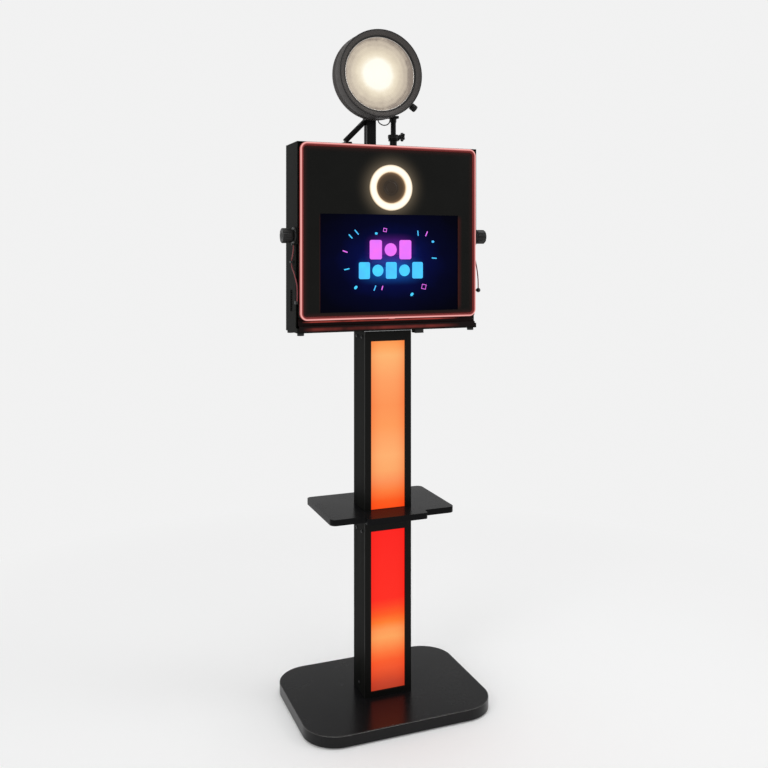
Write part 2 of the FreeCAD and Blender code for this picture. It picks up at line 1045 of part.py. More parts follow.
# ---------------------------------------------------------------- service side of the case
door_y = s.case_back + s.touch_gap
hinge_x = -door_half - s.hinge_offset
hinge_y = s.case_back + s.hinge_standoff
hinge_low = door_bottom + (s.door_height - s.hinge_length) / 2
hinge_high = hinge_low + s.hinge_length
lock_x = door_hole_half - s.lock_inset / 2
lock_z = door_bottom + s.door_height / 2
pin_hole = s.hinge_pin_radius + s.shaft_gap
door_knuckle_low = hinge_low + s.knuckle_length + s.touch_gap
door_knuckle_high = hinge_high - s.knuckle_length - s.touch_gap
node(
    "rear_door",
    cut(
        fuse(
            block(
                -door_half, door_half, door_y, door_y + s.door_thick,
                door_bottom, door_bottom + s.door_height,
            ),
            block(
                hinge_x, -door_half, door_y + s.door_thick / 2, door_y + s.door_thick,
                door_knuckle_low, door_knuckle_high,
            ),
            round_bar(
                s.hinge_radius, door_knuckle_high - door_knuckle_low, hinge_x, hinge_y, door_knuckle_low
            ),
        ),
        round_bar(pin_hole, s.door_height, hinge_x, hinge_y, door_bottom),
        round_bar(s.lock_radius + s.shaft_gap, s.door_thick * 2, lock_x, s.case_back, lock_z, "y"),
    ),
)
leaf_right = hinge_x - s.hinge_radius
node(
    "door_hinge",
    fuse(
        block(
            leaf_right - s.hinge_leaf_width, leaf_right,
            s.case_back, s.case_back + s.hinge_leaf_thick, hinge_low, hinge_high,
        ),
        round_bar(s.hinge_pin_radius, s.hinge_length, hinge_x, hinge_y, hinge_low),
        *[
            fuse(
                round_bar(s.hinge_radius, s.knuckle_length, hinge_x, hinge_y, z),
                block(
                    leaf_right - s.hinge_radius, hinge_x,
                    s.case_back, hinge_y, z, z + s.knuckle_length,
                ),
            )
            for z in (hinge_low, hinge_high - s.knuckle_length)
        ],
    ),
)
cam_front = case_rear_inside - s.cam_setback - s.cam_thick
lock_out = door_y + s.door_thick + s.lock_proud
node(
    "door_lock",
    fuse(
        round_bar(s.lock_radius, lock_out - cam_front, lock_x, cam_front, lock_z, "y"),
        block(
            lock_x - s.cam_width / 2, lock_x + s.cam_width / 2,
            cam_front, cam_front + s.cam_thick, lock_z - s.cam_length, lock_z,
        ),
        round_bar(
            s.lock_radius + s.lock_proud / 2, s.lock_proud / 2,
            lock_x, door_y + s.door_thick + s.touch_gap, lock_z, "y",
        ),
    ),
)

inlet_inset = s.touch_gap
inlet_mid = inlet_bottom + s.inlet_height / 2
rocker_x = inlet_right - s.rocker_width
rocker_gap = s.touch_gap + 1
rocker_hole = [
    rocker_x - s.rocker_width / 2 - s.touch_gap,
    rocker_x + s.rocker_width / 2 + s.touch_gap,
    s.case_back - s.rocker_thick,
    s.case_back + s.inlet_flange,
    inlet_mid - s.rocker_height / 2 - rocker_gap,
    inlet_mid + s.rocker_height / 2 + rocker_gap,
]
plug_left = s.inlet_left + s.inlet_flange
rocker_pivot_y = s.case_back + s.inlet_flange - s.rocker_thick / 4
axle_x = rocker_x - s.rocker_width / 2 - s.touch_gap - s.rocker_axle_stub
axle_length = s.rocker_width + 2 * (s.touch_gap + s.rocker_axle_stub)
node(
    "power_inlet",
    cut(
        fuse(
            block(
                s.inlet_left + inlet_inset, inlet_right - inlet_inset,
                s.case_back - s.inlet_depth, s.case_back,
                inlet_bottom + inlet_inset, inlet_bottom + s.inlet_height - inlet_inset,
            ),
            block(
                s.inlet_left - s.inlet_flange, inlet_right + s.inlet_flange,
                s.case_back, s.case_back + s.inlet_flange,
                inlet_bottom - s.inlet_flange, inlet_bottom + s.inlet_height + s.inlet_flange,
            ),
        ),
        block(*rocker_hole),
        round_bar(
            s.rocker_axle_radius + s.shaft_gap, axle_length, axle_x, rocker_pivot_y, inlet_mid, "x"
        ),
        block(
            plug_left, plug_left + s.inlet_width / 2 - s.inlet_flange,
            s.case_back - s.inlet_depth / 2, s.case_back + s.inlet_flange,
            inlet_mid - s.rocker_height / 2, inlet_mid + s.rocker_height / 2,
        ),
    ),
)
rocker = doc.addObject("Part::Box", "Rocker")
bind(rocker, "Length", s.rocker_width)
bind(rocker, "Width", s.rocker_thick / 2)
bind(rocker, "Height", s.rocker_height)
rocker.Placement = FreeCAD.Placement(
    Vec(float(rocker_x - s.rocker_width / 2), float(rocker_pivot_y - s.rocker_thick / 4),
        float(inlet_mid - s.rocker_height / 2)),
    FreeCAD.Rotation(AXES["x"], -float(s.rocker_tilt)),
    Vec(0, float(s.rocker_thick / 4), float(s.rocker_height / 2)),
)
node(
    "power_switch",
    fuse(
        rocker,
        round_bar(s.rocker_axle_radius, axle_length, axle_x, rocker_pivot_y, inlet_mid, "x"),
    ),
)

fan_half = s.fan_size / 2
fan_front = case_rear_inside - s.fan_depth
spider = s.fan_hub_radius - s.fan_spoke_depth
spoke_half = s.fan_spoke / 2
spoke_back = fan_front + s.fan_spoke_depth
rotor_depth = s.fan_depth - 2 * s.fan_end_gap
node(
    "fan_frame",
    fuse(
        cut(
            block(
                s.fan_x - fan_half, s.fan_x + fan_half, fan_front, case_rear_inside,
                fan_z - fan_half, fan_z + fan_half,
            ),
            round_bar(s.fan_bore_radius, s.fan_depth, s.fan_x, fan_front, fan_z, "y"),
        ),
        round_bar(spider, s.fan_spoke_depth, s.fan_x, fan_front, fan_z, "y"),
        round_bar(s.fan_shaft_radius, rotor_depth, s.fan_x, fan_front, fan_z, "y"),
        block(
            s.fan_x - fan_half, s.fan_x + fan_half, fan_front, spoke_back,
            fan_z - spoke_half, fan_z + spoke_half,
        ),
        block(
            s.fan_x - spoke_half, s.fan_x + spoke_half, fan_front, spoke_back,
            fan_z - fan_half, fan_z + fan_half,
        ),
    ),
)
blade_out = s.fan_bore_radius - s.fan_tip_gap
blade_root = s.fan_hub_radius - s.fan_blade_thick
blade_depth = rotor_depth - s.fan_spoke_depth - s.fan_blade_thick
rotor_front = fan_front + s.fan_end_gap


def fan_blade(index):
    """One flat blade pitched round its own radial line."""
    turn = FreeCAD.Rotation(AXES["y"], 360.0 * index / float(s.fan_blades))
    pitch = FreeCAD.Rotation(AXES["x"], float(s.fan_blade_pitch))
    blade = doc.addObject("Part::Box", "Blade")
    bind(blade, "Length", blade_out - blade_root)
    bind(blade, "Width", blade_depth)
    bind(blade, "Height", s.fan_blade_thick)
    middle = Vec(float(s.fan_x), float(rotor_front + rotor_depth / 2), float(fan_z))
    offset = Vec(float(blade_root), -float(blade_depth) / 2, -float(s.fan_blade_thick) / 2)
    rotation = turn.multiply(pitch)
    blade.Placement = FreeCAD.Placement(middle + rotation.multVec(offset), rotation)
    return blade


node(
    "fan_rotor",
    cut(
        fuse(
            round_bar(s.fan_hub_radius, rotor_depth, s.fan_x, rotor_front, fan_z, "y"),
            *[fan_blade(i) for i in range(round(float(s.fan_blades)))],
        ),
        round_bar(s.fan_shaft_radius + s.shaft_gap, s.fan_depth, s.fan_x, fan_front, fan_z, "y"),
    ),
)
node(
    "mini_computer",
    block(
        s.pc_left, s.pc_left + s.pc_width, case_rear_inside - s.pc_depth, case_rear_inside,
        case_bottom + s.pc_rise, case_bottom + s.pc_rise + s.pc_height,
    ),
)
node(
    "power_supply",
    block(
        s.supply_left, s.supply_left + s.supply_width, case_rear_inside - s.supply_depth, case_rear_inside,
        case_bottom + s.supply_rise, case_bottom + s.supply_rise + s.supply_height,
    ),
)

# ---------------------------------------------------------------- tilting front
panel_half = s.panel_width / 2
inner_half = panel_half - s.rim_width
rim = slab(
    "rim_light", oblong(-panel_half, panel_half, Size(0, "0"), s.panel_height),
    s.rim_depth, s.rim_corner, along="y",
)
rim_hole = sketch_on(rim, "XZ_Plane")
outline(rim_hole, oblong(-inner_half, inner_half, s.rim_width, s.panel_height - s.rim_width))
pocket(rim, rim_hole, s.rim_depth, reverse=False)
soften(
    rim, "Fillet", s.rim_corner - s.rim_width,
    lambda edge: runs(edge, "y") and abs(edge.CenterOfMass.x) > float(inner_half) - 0.01
    and abs(edge.CenterOfMass.x) < float(inner_half) + 0.01,
)
soften(rim, "Fillet", s.rim_round, lambda edge: edge.BoundBox.YMax < 0.01)
rim_front = panel_back - s.rim_depth
node("rim_light", place(rim, y=rim_front, z=panel_bottom))

skin_half = inner_half - s.touch_gap
skin_low = s.rim_width + s.touch_gap
screen_low = s.screen_rise - s.panel_rise
screen_half = s.screen_width / 2
glass_half = screen_half + s.glass_lap
panel = slab(
    "front_panel",
    oblong(-skin_half, skin_half, skin_low, s.panel_height - skin_low),
    s.panel_thick, s.rim_corner - s.rim_width, along="y",
)
openings = sketch_on(panel, "XZ_Plane")
outline(openings, oblong(-screen_half, screen_half, screen_low, screen_low + s.screen_height))
circle(openings, s.ring_outer + s.touch_gap, y=s.ring_rise - s.panel_rise)
pocket(panel, openings, s.panel_thick)
rebate = sketch_on(panel, "XZ_Plane")
glass_hole = glass_half + s.touch_gap
outline(
    rebate,
    oblong(
        -glass_hole, glass_hole,
        screen_low - s.glass_lap - s.touch_gap, screen_low + s.screen_height + s.glass_lap + s.touch_gap,
    ),
)
rebate.AttachmentOffset = FreeCAD.Placement(Vec(0, 0, -1), FreeCAD.Rotation())
bind(rebate, "AttachmentOffset.Base.z", -(s.panel_thick - s.glass_thick))
pocket(panel, rebate, s.glass_thick)
node("front_panel", place(panel, y=-s.panel_front, z=panel_bottom))

screen_bottom = case_bottom + s.screen_rise
screen_top = screen_bottom + s.screen_height
node(
    "touch_glass",
    block(
        -glass_half, glass_half, panel_back - s.glass_thick, panel_back,
        screen_bottom - s.glass_lap, screen_top + s.glass_lap,
    ),
)
display_half = screen_half + s.display_lap
node(
    "screen_module",
    block(
        -display_half, display_half, flange_back, flange_back + s.display_depth,
        screen_bottom - s.display_lap, screen_top + s.display_lap,
    ),
)
ring_front = -s.panel_front - s.ring_proud
board_in = s.ring_inner + s.ring_wall
board_out = s.ring_outer - s.ring_wall
channel = new_body("ring_diffuser")
turned(
    channel,
    "y",
    [
        (ring_front, s.ring_inner),
        (ring_front, s.ring_outer),
        (panel_back, s.ring_outer),
        (panel_back, board_out),
        (ring_front + s.ring_wall, board_out),
        (ring_front + s.ring_wall, board_in),
        (panel_back, board_in),
        (panel_back, s.ring_inner),
    ],
)
node("ring_diffuser", place(channel, z=ring_z))
board_front = panel_back - s.ring_board_thick
node(
    "ring_board",
    cut(
        round_bar(board_out - s.touch_gap, s.ring_board_thick, 0, board_front, ring_z, "y"),
        round_bar(board_in + s.touch_gap, s.ring_board_thick, 0, board_front, ring_z, "y"),
    ),
)
node(
    "camera_window",
    round_bar(
        s.ring_inner - s.touch_gap, s.camera_glass_thick, 0, panel_back - s.camera_glass_thick, ring_z, "y"
    ),
)
lens_front = flange_back - s.flange_thick + s.touch_gap
camera_front = lens_front + s.lens_depth
camera_low = ring_z - s.camera_height / 2
node(
    "camera",
    fuse(
        round_bar(s.lens_radius, s.lens_depth, 0, lens_front, ring_z, "y"),
        block(
            -s.camera_width / 2, s.camera_width / 2, camera_front, camera_front + s.camera_depth,
            camera_low, camera_low + s.camera_height,
        ),
    ),
)
chassis_half = s.chassis_width / 2
chassis_low = panel_bottom + s.flange_inset
chassis_high = panel_bottom + s.panel_height - s.flange_inset - 1.5
window_half = screen_half + 1
boss_length = case_inside - chassis_half - s.touch_gap / 3
side_plates = [
    block(
        x0, x0 + s.chassis_wall, flange_back, flange_back + s.chassis_depth,
        chassis_low + s.flange_inset * 2, chassis_high - s.flange_inset * 2,
    )
    for x0 in (-chassis_half, chassis_half - s.chassis_wall)
]
node(
    "unit_chassis",
    cut(
        fuse(
            block(-chassis_half, chassis_half, panel_back, flange_back, chassis_low, chassis_high),
            *side_plates,
            *[
                round_bar(s.pivot_boss_radius, boss_length, x0, pivot_y, pivot_z, "x")
                for x0 in (-chassis_half - boss_length, chassis_half)
            ],
            block(
                -s.camera_width / 2 - s.camera_tray_thick, s.camera_width / 2 + s.camera_tray_thick,
                flange_back, camera_front + s.camera_depth,
                camera_low - s.camera_tray_thick, camera_low,
            ),
        ),
        block(
            -window_half, window_half, panel_back, flange_back,
            screen_bottom - 1, screen_top + 1,
        ),
        round_bar(s.camera_hole_radius, s.flange_thick, 0, panel_back, ring_z, "y"),
        round_bar(stud_hole, s.case_width, -case_side, pivot_y, pivot_z, "x"),
    ),
)

# ---------------------------------------------------------------- mast, rod and stay
mast_half = s.mast_width / 2
collar_half = s.collar_width / 2
mast_front = mast_y - mast_half
groove_half = s.groove_width / 2
grooves = []
for side in (-1, 1):
    edge = side * mast_half
    grooves.append(
        block(
            edge - s.groove_depth, edge + s.groove_depth,
            mast_y - groove_half, mast_y + groove_half, mast_foot, mast_top - s.collar_height,
        )
    )
grooves.append(
    block(
        -groove_half, groove_half, mast_y + mast_half - s.groove_depth, mast_y + mast_half,
        mast_foot, mast_top - s.collar_height,
    )
)
node(
    "mast_outer",
    cut(
        fuse(
            block(-mast_half, mast_half, mast_front, mast_y + mast_half, mast_foot, mast_top),
            block(
                -collar_half, collar_half, mast_y - collar_half, mast_y + collar_half,
                mast_top - s.collar_height, mast_top,
            ),
        ),
        block(-slide_half, slide_half, mast_y - slide_half, mast_y + slide_half, mast_foot, mast_top),
        *grooves,
    ),
)
inner_half_width = s.mast_inner_width / 2
node(
    "mast_inner",
    block(
        -inner_half_width, inner_half_width, mast_y - inner_half_width, mast_y + inner_half_width,
        arm_under - s.mast_inner_length, arm_under,
    ),
)

rod_top = mast_top - s.rod_drop
rod_foot = rod_top - s.rod_outer_length
clamp_low = rod_top - s.rod_clamp_height / 2
rod_bore = s.rod_inner_radius + s.touch_gap
node(
    "rod_outer",
    cut(
        round_bar(s.rod_outer_radius, s.rod_outer_length, s.rod_x, mast_y, rod_foot),
        round_bar(rod_bore, s.rod_outer_length, s.rod_x, mast_y, rod_foot),
    ),
)
node(
    "rod_inner",
    round_bar(s.rod_inner_radius, s.rod_inner_length, s.rod_x, mast_y, arm_under - s.rod_inner_length),
)
wing_x = s.rod_x + s.rod_clamp_radius + s.wing_boss / 2
node(
    "rod_clamp",
    cut(
        fuse(
            round_bar(s.rod_clamp_radius, s.rod_clamp_height, s.rod_x, mast_y, clamp_low),
            round_bar(s.wing_boss, s.rod_clamp_radius + s.wing_boss / 2, s.rod_x, mast_y, rod_top, "x"),
        ),
        round_bar(s.rod_outer_radius + s.shaft_gap, s.rod_clamp_height / 2, s.rod_x, mast_y, clamp_low),
        round_bar(rod_bore, s.rod_clamp_height, s.rod_x, mast_y, clamp_low),
        round_bar(
            s.wing_stud_radius + s.shaft_gap, s.rod_clamp_radius + s.wing_boss, s.rod_x, mast_y,
            rod_top + s.rod_clamp_height / 4, "x",
        ),
    ),
)
wing_z = rod_top + s.rod_clamp_height / 4
wing_in = wing_x + s.touch_gap
wing_half = s.wing_thick / 2
node(
    "wing_knob",
    fuse(
        round_bar(s.wing_stud_radius, s.wing_boss, wing_in - s.wing_boss, mast_y, wing_z, "x"),
        round_bar(s.wing_radius / 2, s.wing_length, wing_in, mast_y, wing_z, "x"),
        block(
            wing_in + s.wing_length / 2, wing_in + s.wing_length,
            mast_y - s.wing_radius, mast_y + s.wing_radius, wing_z - wing_half, wing_z + wing_half,
        ),
        block(
            wing_in + s.wing_length / 2, wing_in + s.wing_length,
            mast_y - wing_half, mast_y + wing_half, wing_z - s.wing_radius, wing_z + s.wing_radius,
        ),
    ),
)
block_half = s.bracket_block_width / 2
saddle_half = s.saddle_width / 2
saddle_bore = s.rod_outer_radius + s.shaft_gap
rod_saddles = cut(
    fuse(*[
        block(
            s.rod_x - saddle_half, s.rod_x + saddle_half, s.case_back, mast_y,
            rod_foot + rise, rod_foot + rise + s.bracket_block_height,
        )
        for rise in (s.saddle_low_rise, s.saddle_high_rise)
    ]),
    round_bar(saddle_bore, s.rod_outer_length, s.rod_x, mast_y, rod_foot),
)
node(
    "mast_brackets",
    group(
        *[
            block(
                -block_half, block_half, s.case_back, mast_front,
                case_bottom + rise, case_bottom + rise + s.bracket_block_height,
            )
            for rise in (s.bracket_low_rise, s.bracket_high_rise)
        ],
        rod_saddles,
    ),
)
stay_z = mast_top - s.stay_drop
stay_run = -mast_half - s.stay_foot_x
stay_bar = doc.addObject("Part::Cylinder", "StayBar")
stay_bar.Placement = FreeCAD.Placement(Vec(), FreeCAD.Rotation(AXES["z"], Vec(1, 0, 1)))
bind(stay_bar, "Radius", s.stay_radius)
bind(stay_bar, "Height", stay_run * 2)
place(stay_bar, s.stay_foot_x, mast_y, stay_z)
stay_half = s.stay_foot_width / 2
stay_limit = doc.addObject("Part::MultiCommon", "StayLimit")
stay_limit.Shapes = [
    stay_bar,
    block(
        s.stay_foot_x * 2, -mast_half, s.case_back, mast_y * 2,
        stay_z - stay_half, mast_top - s.collar_height,
    ),
]
node(
    "stay_tube",
    fuse(
        stay_limit,
        block(
            s.stay_foot_x - stay_half, s.stay_foot_x + stay_half, s.case_back, mast_y + stay_half,
            case_top - s.stay_foot_lap, stay_z - stay_half / 2,
        ),
    ),
)

# ---------------------------------------------------------------- lamp carriage
ear_inside = s.lug_width / 2 + s.touch_gap
pin_bore = s.tilt_pin_radius + s.shaft_gap
arm_front = mast_y - s.arm_depth / 2
arm_back = mast_y + s.arm_depth / 2
node(
    "cross_arm",
    cut(
        fuse(
            block(-s.arm_left, s.arm_right, arm_front, arm_back, arm_under, arm_top),
            *[
                block(
                    x0, x0 + s.ear_thick, mast_y - s.knuckle_radius, mast_y + s.knuckle_radius,
                    arm_top, arm_top + s.ear_height,
                )
                for x0 in (-ear_inside - s.ear_thick, ear_inside)
            ],
        ),
        round_bar(
            pin_bore, (ear_inside + s.ear_thick) * 2, -ear_inside - s.ear_thick, mast_y, tilt_z, "x"
        ),
    ),
)
pin_half = ear_inside + s.ear_thick + 2
node("tilt_pin", round_bar(s.tilt_pin_radius, pin_half * 2, -pin_half, mast_y, tilt_z, "x"))
tube_path(
    "lamp_lead",
    [
        (24, mast_y - 7, arm_under),
        (24, mast_y - 7, arm_under - 12),
        (32, mast_y - 8, arm_under - 21),
        (44.5, mast_y - 8.4, arm_under - 25),
        (57.5, mast_y - 8, arm_under - 21.5),
        (66, mast_y - 7, arm_under - 12),
        (66, mast_y - 7, arm_under),
    ],
    s.lead_diameter,
)

# ---------------------------------------------------------------- lamp
housing = new_body("lamp_housing")
cap_back = lamp_back + s.lamp_cap_depth
shell_in = s.lamp_radius - s.lamp_wall
cap_in = s.lamp_cap_radius - s.lamp_back_wall
turned(
    housing,
    "y",
    [
        (s.lamp_front, s.lamp_radius),
        (lamp_back, s.lamp_radius),
        (lamp_back, s.lamp_cap_radius),
        (cap_back - s.lamp_back_wall * 2, s.lamp_cap_radius),
        (cap_back, s.lamp_cap_radius - s.lamp_back_wall * 2),
        (cap_back, Size(0, "0")),
        (cap_back - s.lamp_back_wall, Size(0, "0")),
        (cap_back - s.lamp_back_wall, cap_in - s.lamp_back_wall * 2),
        (cap_back - s.lamp_back_wall * 3, cap_in),
        (lamp_back - s.lamp_back_wall, cap_in),
        (lamp_back - s.lamp_back_wall, shell_in),
        (s.lamp_front, shell_in),
    ],
)
place(housing, z=lamp_level)
knob_turn = FreeCAD.Rotation(AXES["y"], 90 + float(s.lamp_knob_angle))


def radial_bar(radius, start, length):
    """A bar square to the barrel wall, pointing out and down to the right."""
    bar = doc.addObject("Part::Cylinder", "Bar")
    bar.Placement = FreeCAD.Placement(Vec(), knob_turn)
    bind(bar, "Radius", radius)
    bind(bar, "Height", length)
    out = knob_turn.multVec(AXES["z"])
    return place(bar, start * out.x, s.lamp_knob_y, lamp_level + start * out.z)


stem_bore = s.lamp_stem_radius + s.shaft_gap
stem_hole = radial_bar(stem_bore, s.lamp_radius - s.lamp_wall * 2, s.lamp_wall * 4)
node("lamp_housing", cut(housing, stem_hole))
stem_reach = s.lamp_stem_length + s.lamp_wall + s.lamp_stem_radius
knob_start = s.lamp_radius + s.lamp_stem_length
node(
    "lamp_knob",
    fuse(
        radial_bar(s.lamp_stem_radius, shell_in - s.lamp_stem_radius / 2, stem_reach),
        radial_bar(s.lamp_knob_radius, knob_start, s.lamp_knob_length),
    ),
)
bezel_y = s.lamp_front + s.bezel_recess
bezel = new_body("lamp_bezel")
turned(
    bezel,
    "y",
    [
        (bezel_y, s.bezel_inner),
        (bezel_y, shell_in - s.touch_gap),
        (bezel_y + s.bezel_depth, shell_in - s.touch_gap),
        (bezel_y + s.bezel_depth, s.bezel_inner),
    ],
)
node("lamp_bezel", place(bezel, z=lamp_level))
lens_y = bezel_y + s.bezel_depth
node("lamp_lens", round_bar(s.lens_edge, s.lens_thick, 0, lens_y, lamp_level, "y"))
bulb = new_body("lamp_bulb")
bulb_back = cap_back - s.lamp_back_wall
bulb_front = bulb_back - s.bulb_length
turned(
    bulb,
    "y",
    [
        (bulb_front, Size(0, "0")),
        (bulb_front, s.bulb_radius / 2),
        (bulb_front + s.bulb_radius / 2, s.bulb_radius),
        (bulb_front + s.bulb_radius, s.bulb_radius),
        (bulb_front + s.bulb_bowl, s.bulb_neck),
        (bulb_back, s.bulb_neck),
        (bulb_back, Size(0, "0")),
    ],
)
node("lamp_bulb", place(bulb, z=lamp_level))
lug_half = s.lug_width / 2
plate_half = s.lug_plate_width / 2
lug_back_plate = lamp_back + s.lug_plate_thick
knuckle_reach = s.knuckle_radius - 2
node(
    "lamp_lug",
    cut(
        fuse(
            block(
                -plate_half, plate_half, lamp_back, lug_back_plate,
                tilt_z - s.lug_plate_drop, lamp_level - s.lamp_cap_radius - s.touch_gap,
            ),
            block(
                -lug_half, lug_half, lug_back_plate, mast_y,
                tilt_z - knuckle_reach, tilt_z + knuckle_reach,
            ),
            round_bar(s.knuckle_radius, s.lug_width, -lug_half, mast_y, tilt_z, "x"),
        ),
        round_bar(pin_bore, s.lug_width, -lug_half, mast_y, tilt_z, "x"),
    ),
)

# ---------------------------------------------------------------- check and export
doc.recompute()
for obj in doc.Objects:
    if "Invalid" in obj.State or "Error" in obj.State:
        raise RuntimeError(f"{obj.Label} ({obj.Name}) failed: {obj.State}")
for name, obj in nodes.items():
    if obj.Shape.isNull() or not obj.Shape.isValid() or obj.Shape.Volume <= 0:
        raise RuntimeError(f"{name}: the shape is not a valid solid")

os.makedirs("parts", exist_ok=True)
for name, obj in nodes.items():
    obj.Shape.exportStep(f"parts/{name}.step")
print(len(nodes), "parts written")
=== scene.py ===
import math

import bmesh
import bpy
from mathutils import Matrix, Vector


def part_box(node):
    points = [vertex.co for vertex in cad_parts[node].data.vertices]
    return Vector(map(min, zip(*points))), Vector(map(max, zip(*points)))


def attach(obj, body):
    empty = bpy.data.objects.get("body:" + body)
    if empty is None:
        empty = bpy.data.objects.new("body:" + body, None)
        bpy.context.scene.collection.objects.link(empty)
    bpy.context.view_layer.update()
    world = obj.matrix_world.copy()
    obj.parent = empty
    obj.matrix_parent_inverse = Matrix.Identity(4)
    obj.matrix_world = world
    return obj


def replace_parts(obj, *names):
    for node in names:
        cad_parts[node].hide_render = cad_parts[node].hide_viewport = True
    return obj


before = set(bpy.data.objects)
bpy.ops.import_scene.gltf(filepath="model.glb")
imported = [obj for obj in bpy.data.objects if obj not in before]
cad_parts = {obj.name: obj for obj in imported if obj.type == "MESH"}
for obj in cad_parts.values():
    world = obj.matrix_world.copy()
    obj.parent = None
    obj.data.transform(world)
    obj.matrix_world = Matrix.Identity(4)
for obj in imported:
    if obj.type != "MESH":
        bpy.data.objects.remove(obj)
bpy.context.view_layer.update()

# ------------------------------------------------------------------ camera
# Level camera at shoulder height, in front of the booth and to its left. Its picture is shifted
# instead of tilted, so that upright edges stay upright.
lens_room = Vector((-0.9855, -2.5289, 1.374))
camera_turn = math.radians(-21.4)
camera = bpy.data.objects.new("camera_view", bpy.data.cameras.new("camera_view"))
camera.data.lens = 41.4
camera.data.sensor_width = 36
camera.data.shift_y = -0.173
camera.location = lens_room
camera.rotation_euler = (math.radians(90), 0, camera_turn)
bpy.context.scene.collection.objects.link(camera)
bpy.context.scene.camera = camera

# ------------------------------------------------------------------ studio
# White sweep of floor and a white room, dimmer overhead and in front so that gloss and glass
# reflect less of it, with three soft boxes.


class Wire:
    """A shader value: arithmetic on it adds the Math nodes that work it out."""

    def __init__(self, socket):
        self.socket = socket

    def work(self, operation, *values):
        tree = self.socket.id_data
        sum_node = tree.nodes.new("ShaderNodeMath")
        sum_node.operation = operation
        for slot, value in zip(sum_node.inputs, values):
            if isinstance(value, Wire):
                tree.links.new(value.socket, slot)
            else:
                slot.default_value = value
        return Wire(sum_node.outputs[0])

    def __add__(self, other):
        return self.work("ADD", self, other)

    def __radd__(self, other):
        return self.work("ADD", other, self)

    def __sub__(self, other):
        return self.work("SUBTRACT", self, other)

    def __rsub__(self, other):
        return self.work("SUBTRACT", other, self)

    def __mul__(self, other):
        return self.work("MULTIPLY", self, other)

    def __rmul__(self, other):
        return self.work("MULTIPLY", other, self)

    def __truediv__(self, other):
        return self.work("DIVIDE", self, other)

    def __rtruediv__(self, other):
        return self.work("DIVIDE", other, self)

    def __pow__(self, other):
        return self.work("POWER", self, other)

    def __abs__(self):
        return self.work("ABSOLUTE", self)

    def capped(self):
        """The value held between 0 and 1."""
        return self.work("MINIMUM", self.work("MAXIMUM", self, 0.0), 1.0)


class Finish:
    """One surface finish: a material, its Principled shader, and a single way to add any node."""

    def __init__(self, name, **fixed):
        self.material = bpy.data.materials.new(name)
        self.material.use_nodes = True
        self.tree = self.material.node_tree
        self.shader = self.tree.nodes["Principled BSDF"]
        for socket, value in fixed.items():
            self.set(socket.replace("_", " "), value)

    def set(self, socket, value):
        """Sets or links one socket of the shader."""
        target = self.shader.inputs[socket]
        if isinstance(value, Wire):
            self.tree.links.new(value.socket, target)
        elif target.type == "RGBA" and len(value) == 3:
            target.default_value = (*value, 1)
        else:
            target.default_value = value

    def node(self, kind, settings=None, values=None, output=0):
        """Adds a node: its settings first, then the values or wires of its sockets."""
        made = self.tree.nodes.new(kind)
        for key, value in (settings or {}).items():
            setattr(made, key, value)
        for key, value in (values or {}).items():
            if isinstance(value, Wire):
                self.tree.links.new(value.socket, made.inputs[key])
            elif made.inputs[key].type == "RGBA" and len(value) == 3:
                made.inputs[key].default_value = (*value, 1)
            else:
                made.inputs[key].default_value = value
        return Wire(made.outputs[output])

    def spot(self, stretch=(1, 1, 1)):
        """Place on the piece, in metres, stretched by a scale per axis."""
        place = self.node("ShaderNodeTexCoord", output="Object")
        return self.node("ShaderNodeMapping", values={"Vector": place, "Scale": stretch})

    def axis(self, letter):
        """One coordinate of the place on the piece, in metres."""
        place = self.node("ShaderNodeTexCoord", output="Object")
        return self.node("ShaderNodeSeparateXYZ", values={"Vector": place}, output=letter.upper())

    def noise(self, scale, detail=3.0, rough=0.5, stretch=(1, 1, 1)):
        return self.node(
            "ShaderNodeTexNoise",
            values={"Vector": self.spot(stretch), "Scale": scale, "Detail": detail, "Roughness": rough},
        )

    def between(self, low, high, amount):
        """A colour from low to high as amount goes from 0 to 1."""
        return self.node(
            "ShaderNodeMix",
            {"data_type": "RGBA"},
            {6: low, 7: high, 0: amount},
            output=2,
        )

    def ramp(self, amount, stops):
        """A colour through (place, colour) stops."""
        made = self.tree.nodes.new("ShaderNodeValToRGB")
        self.tree.links.new(amount.socket, made.inputs[0])
        band = made.color_ramp.elements
        while len(band) < len(stops):
            band.new(0.5)
        for element, (place, colour) in zip(band, stops):
            element.position = place
            element.color = (*colour, 1)
        return Wire(made.outputs[0])

    def bump(self, height, depth, strength=1.0):
        """Surface relief of that depth in metres."""
        self.set("Normal", self.node(
            "ShaderNodeBump",
            values={"Height": height, "Distance": depth, "Strength": strength},
        ))


def link(name, mesh, finish, body):
    """Makes a piece of a mesh, gives it its finish and lets it ride on a body."""
    piece = bpy.data.objects.new(name, mesh)
    bpy.context.scene.collection.objects.link(piece)
    if finish is not None:
        mesh.materials.append(finish.material)
    if body:
        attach(piece, body)
    return piece


def plain_mesh(name, corners, faces, smooth=False):
    mesh = bpy.data.meshes.new(name)
    mesh.from_pydata([tuple(c) for c in corners], [], faces)
    mesh.validate()
    for face in mesh.polygons:
        face.use_smooth = smooth
    return mesh


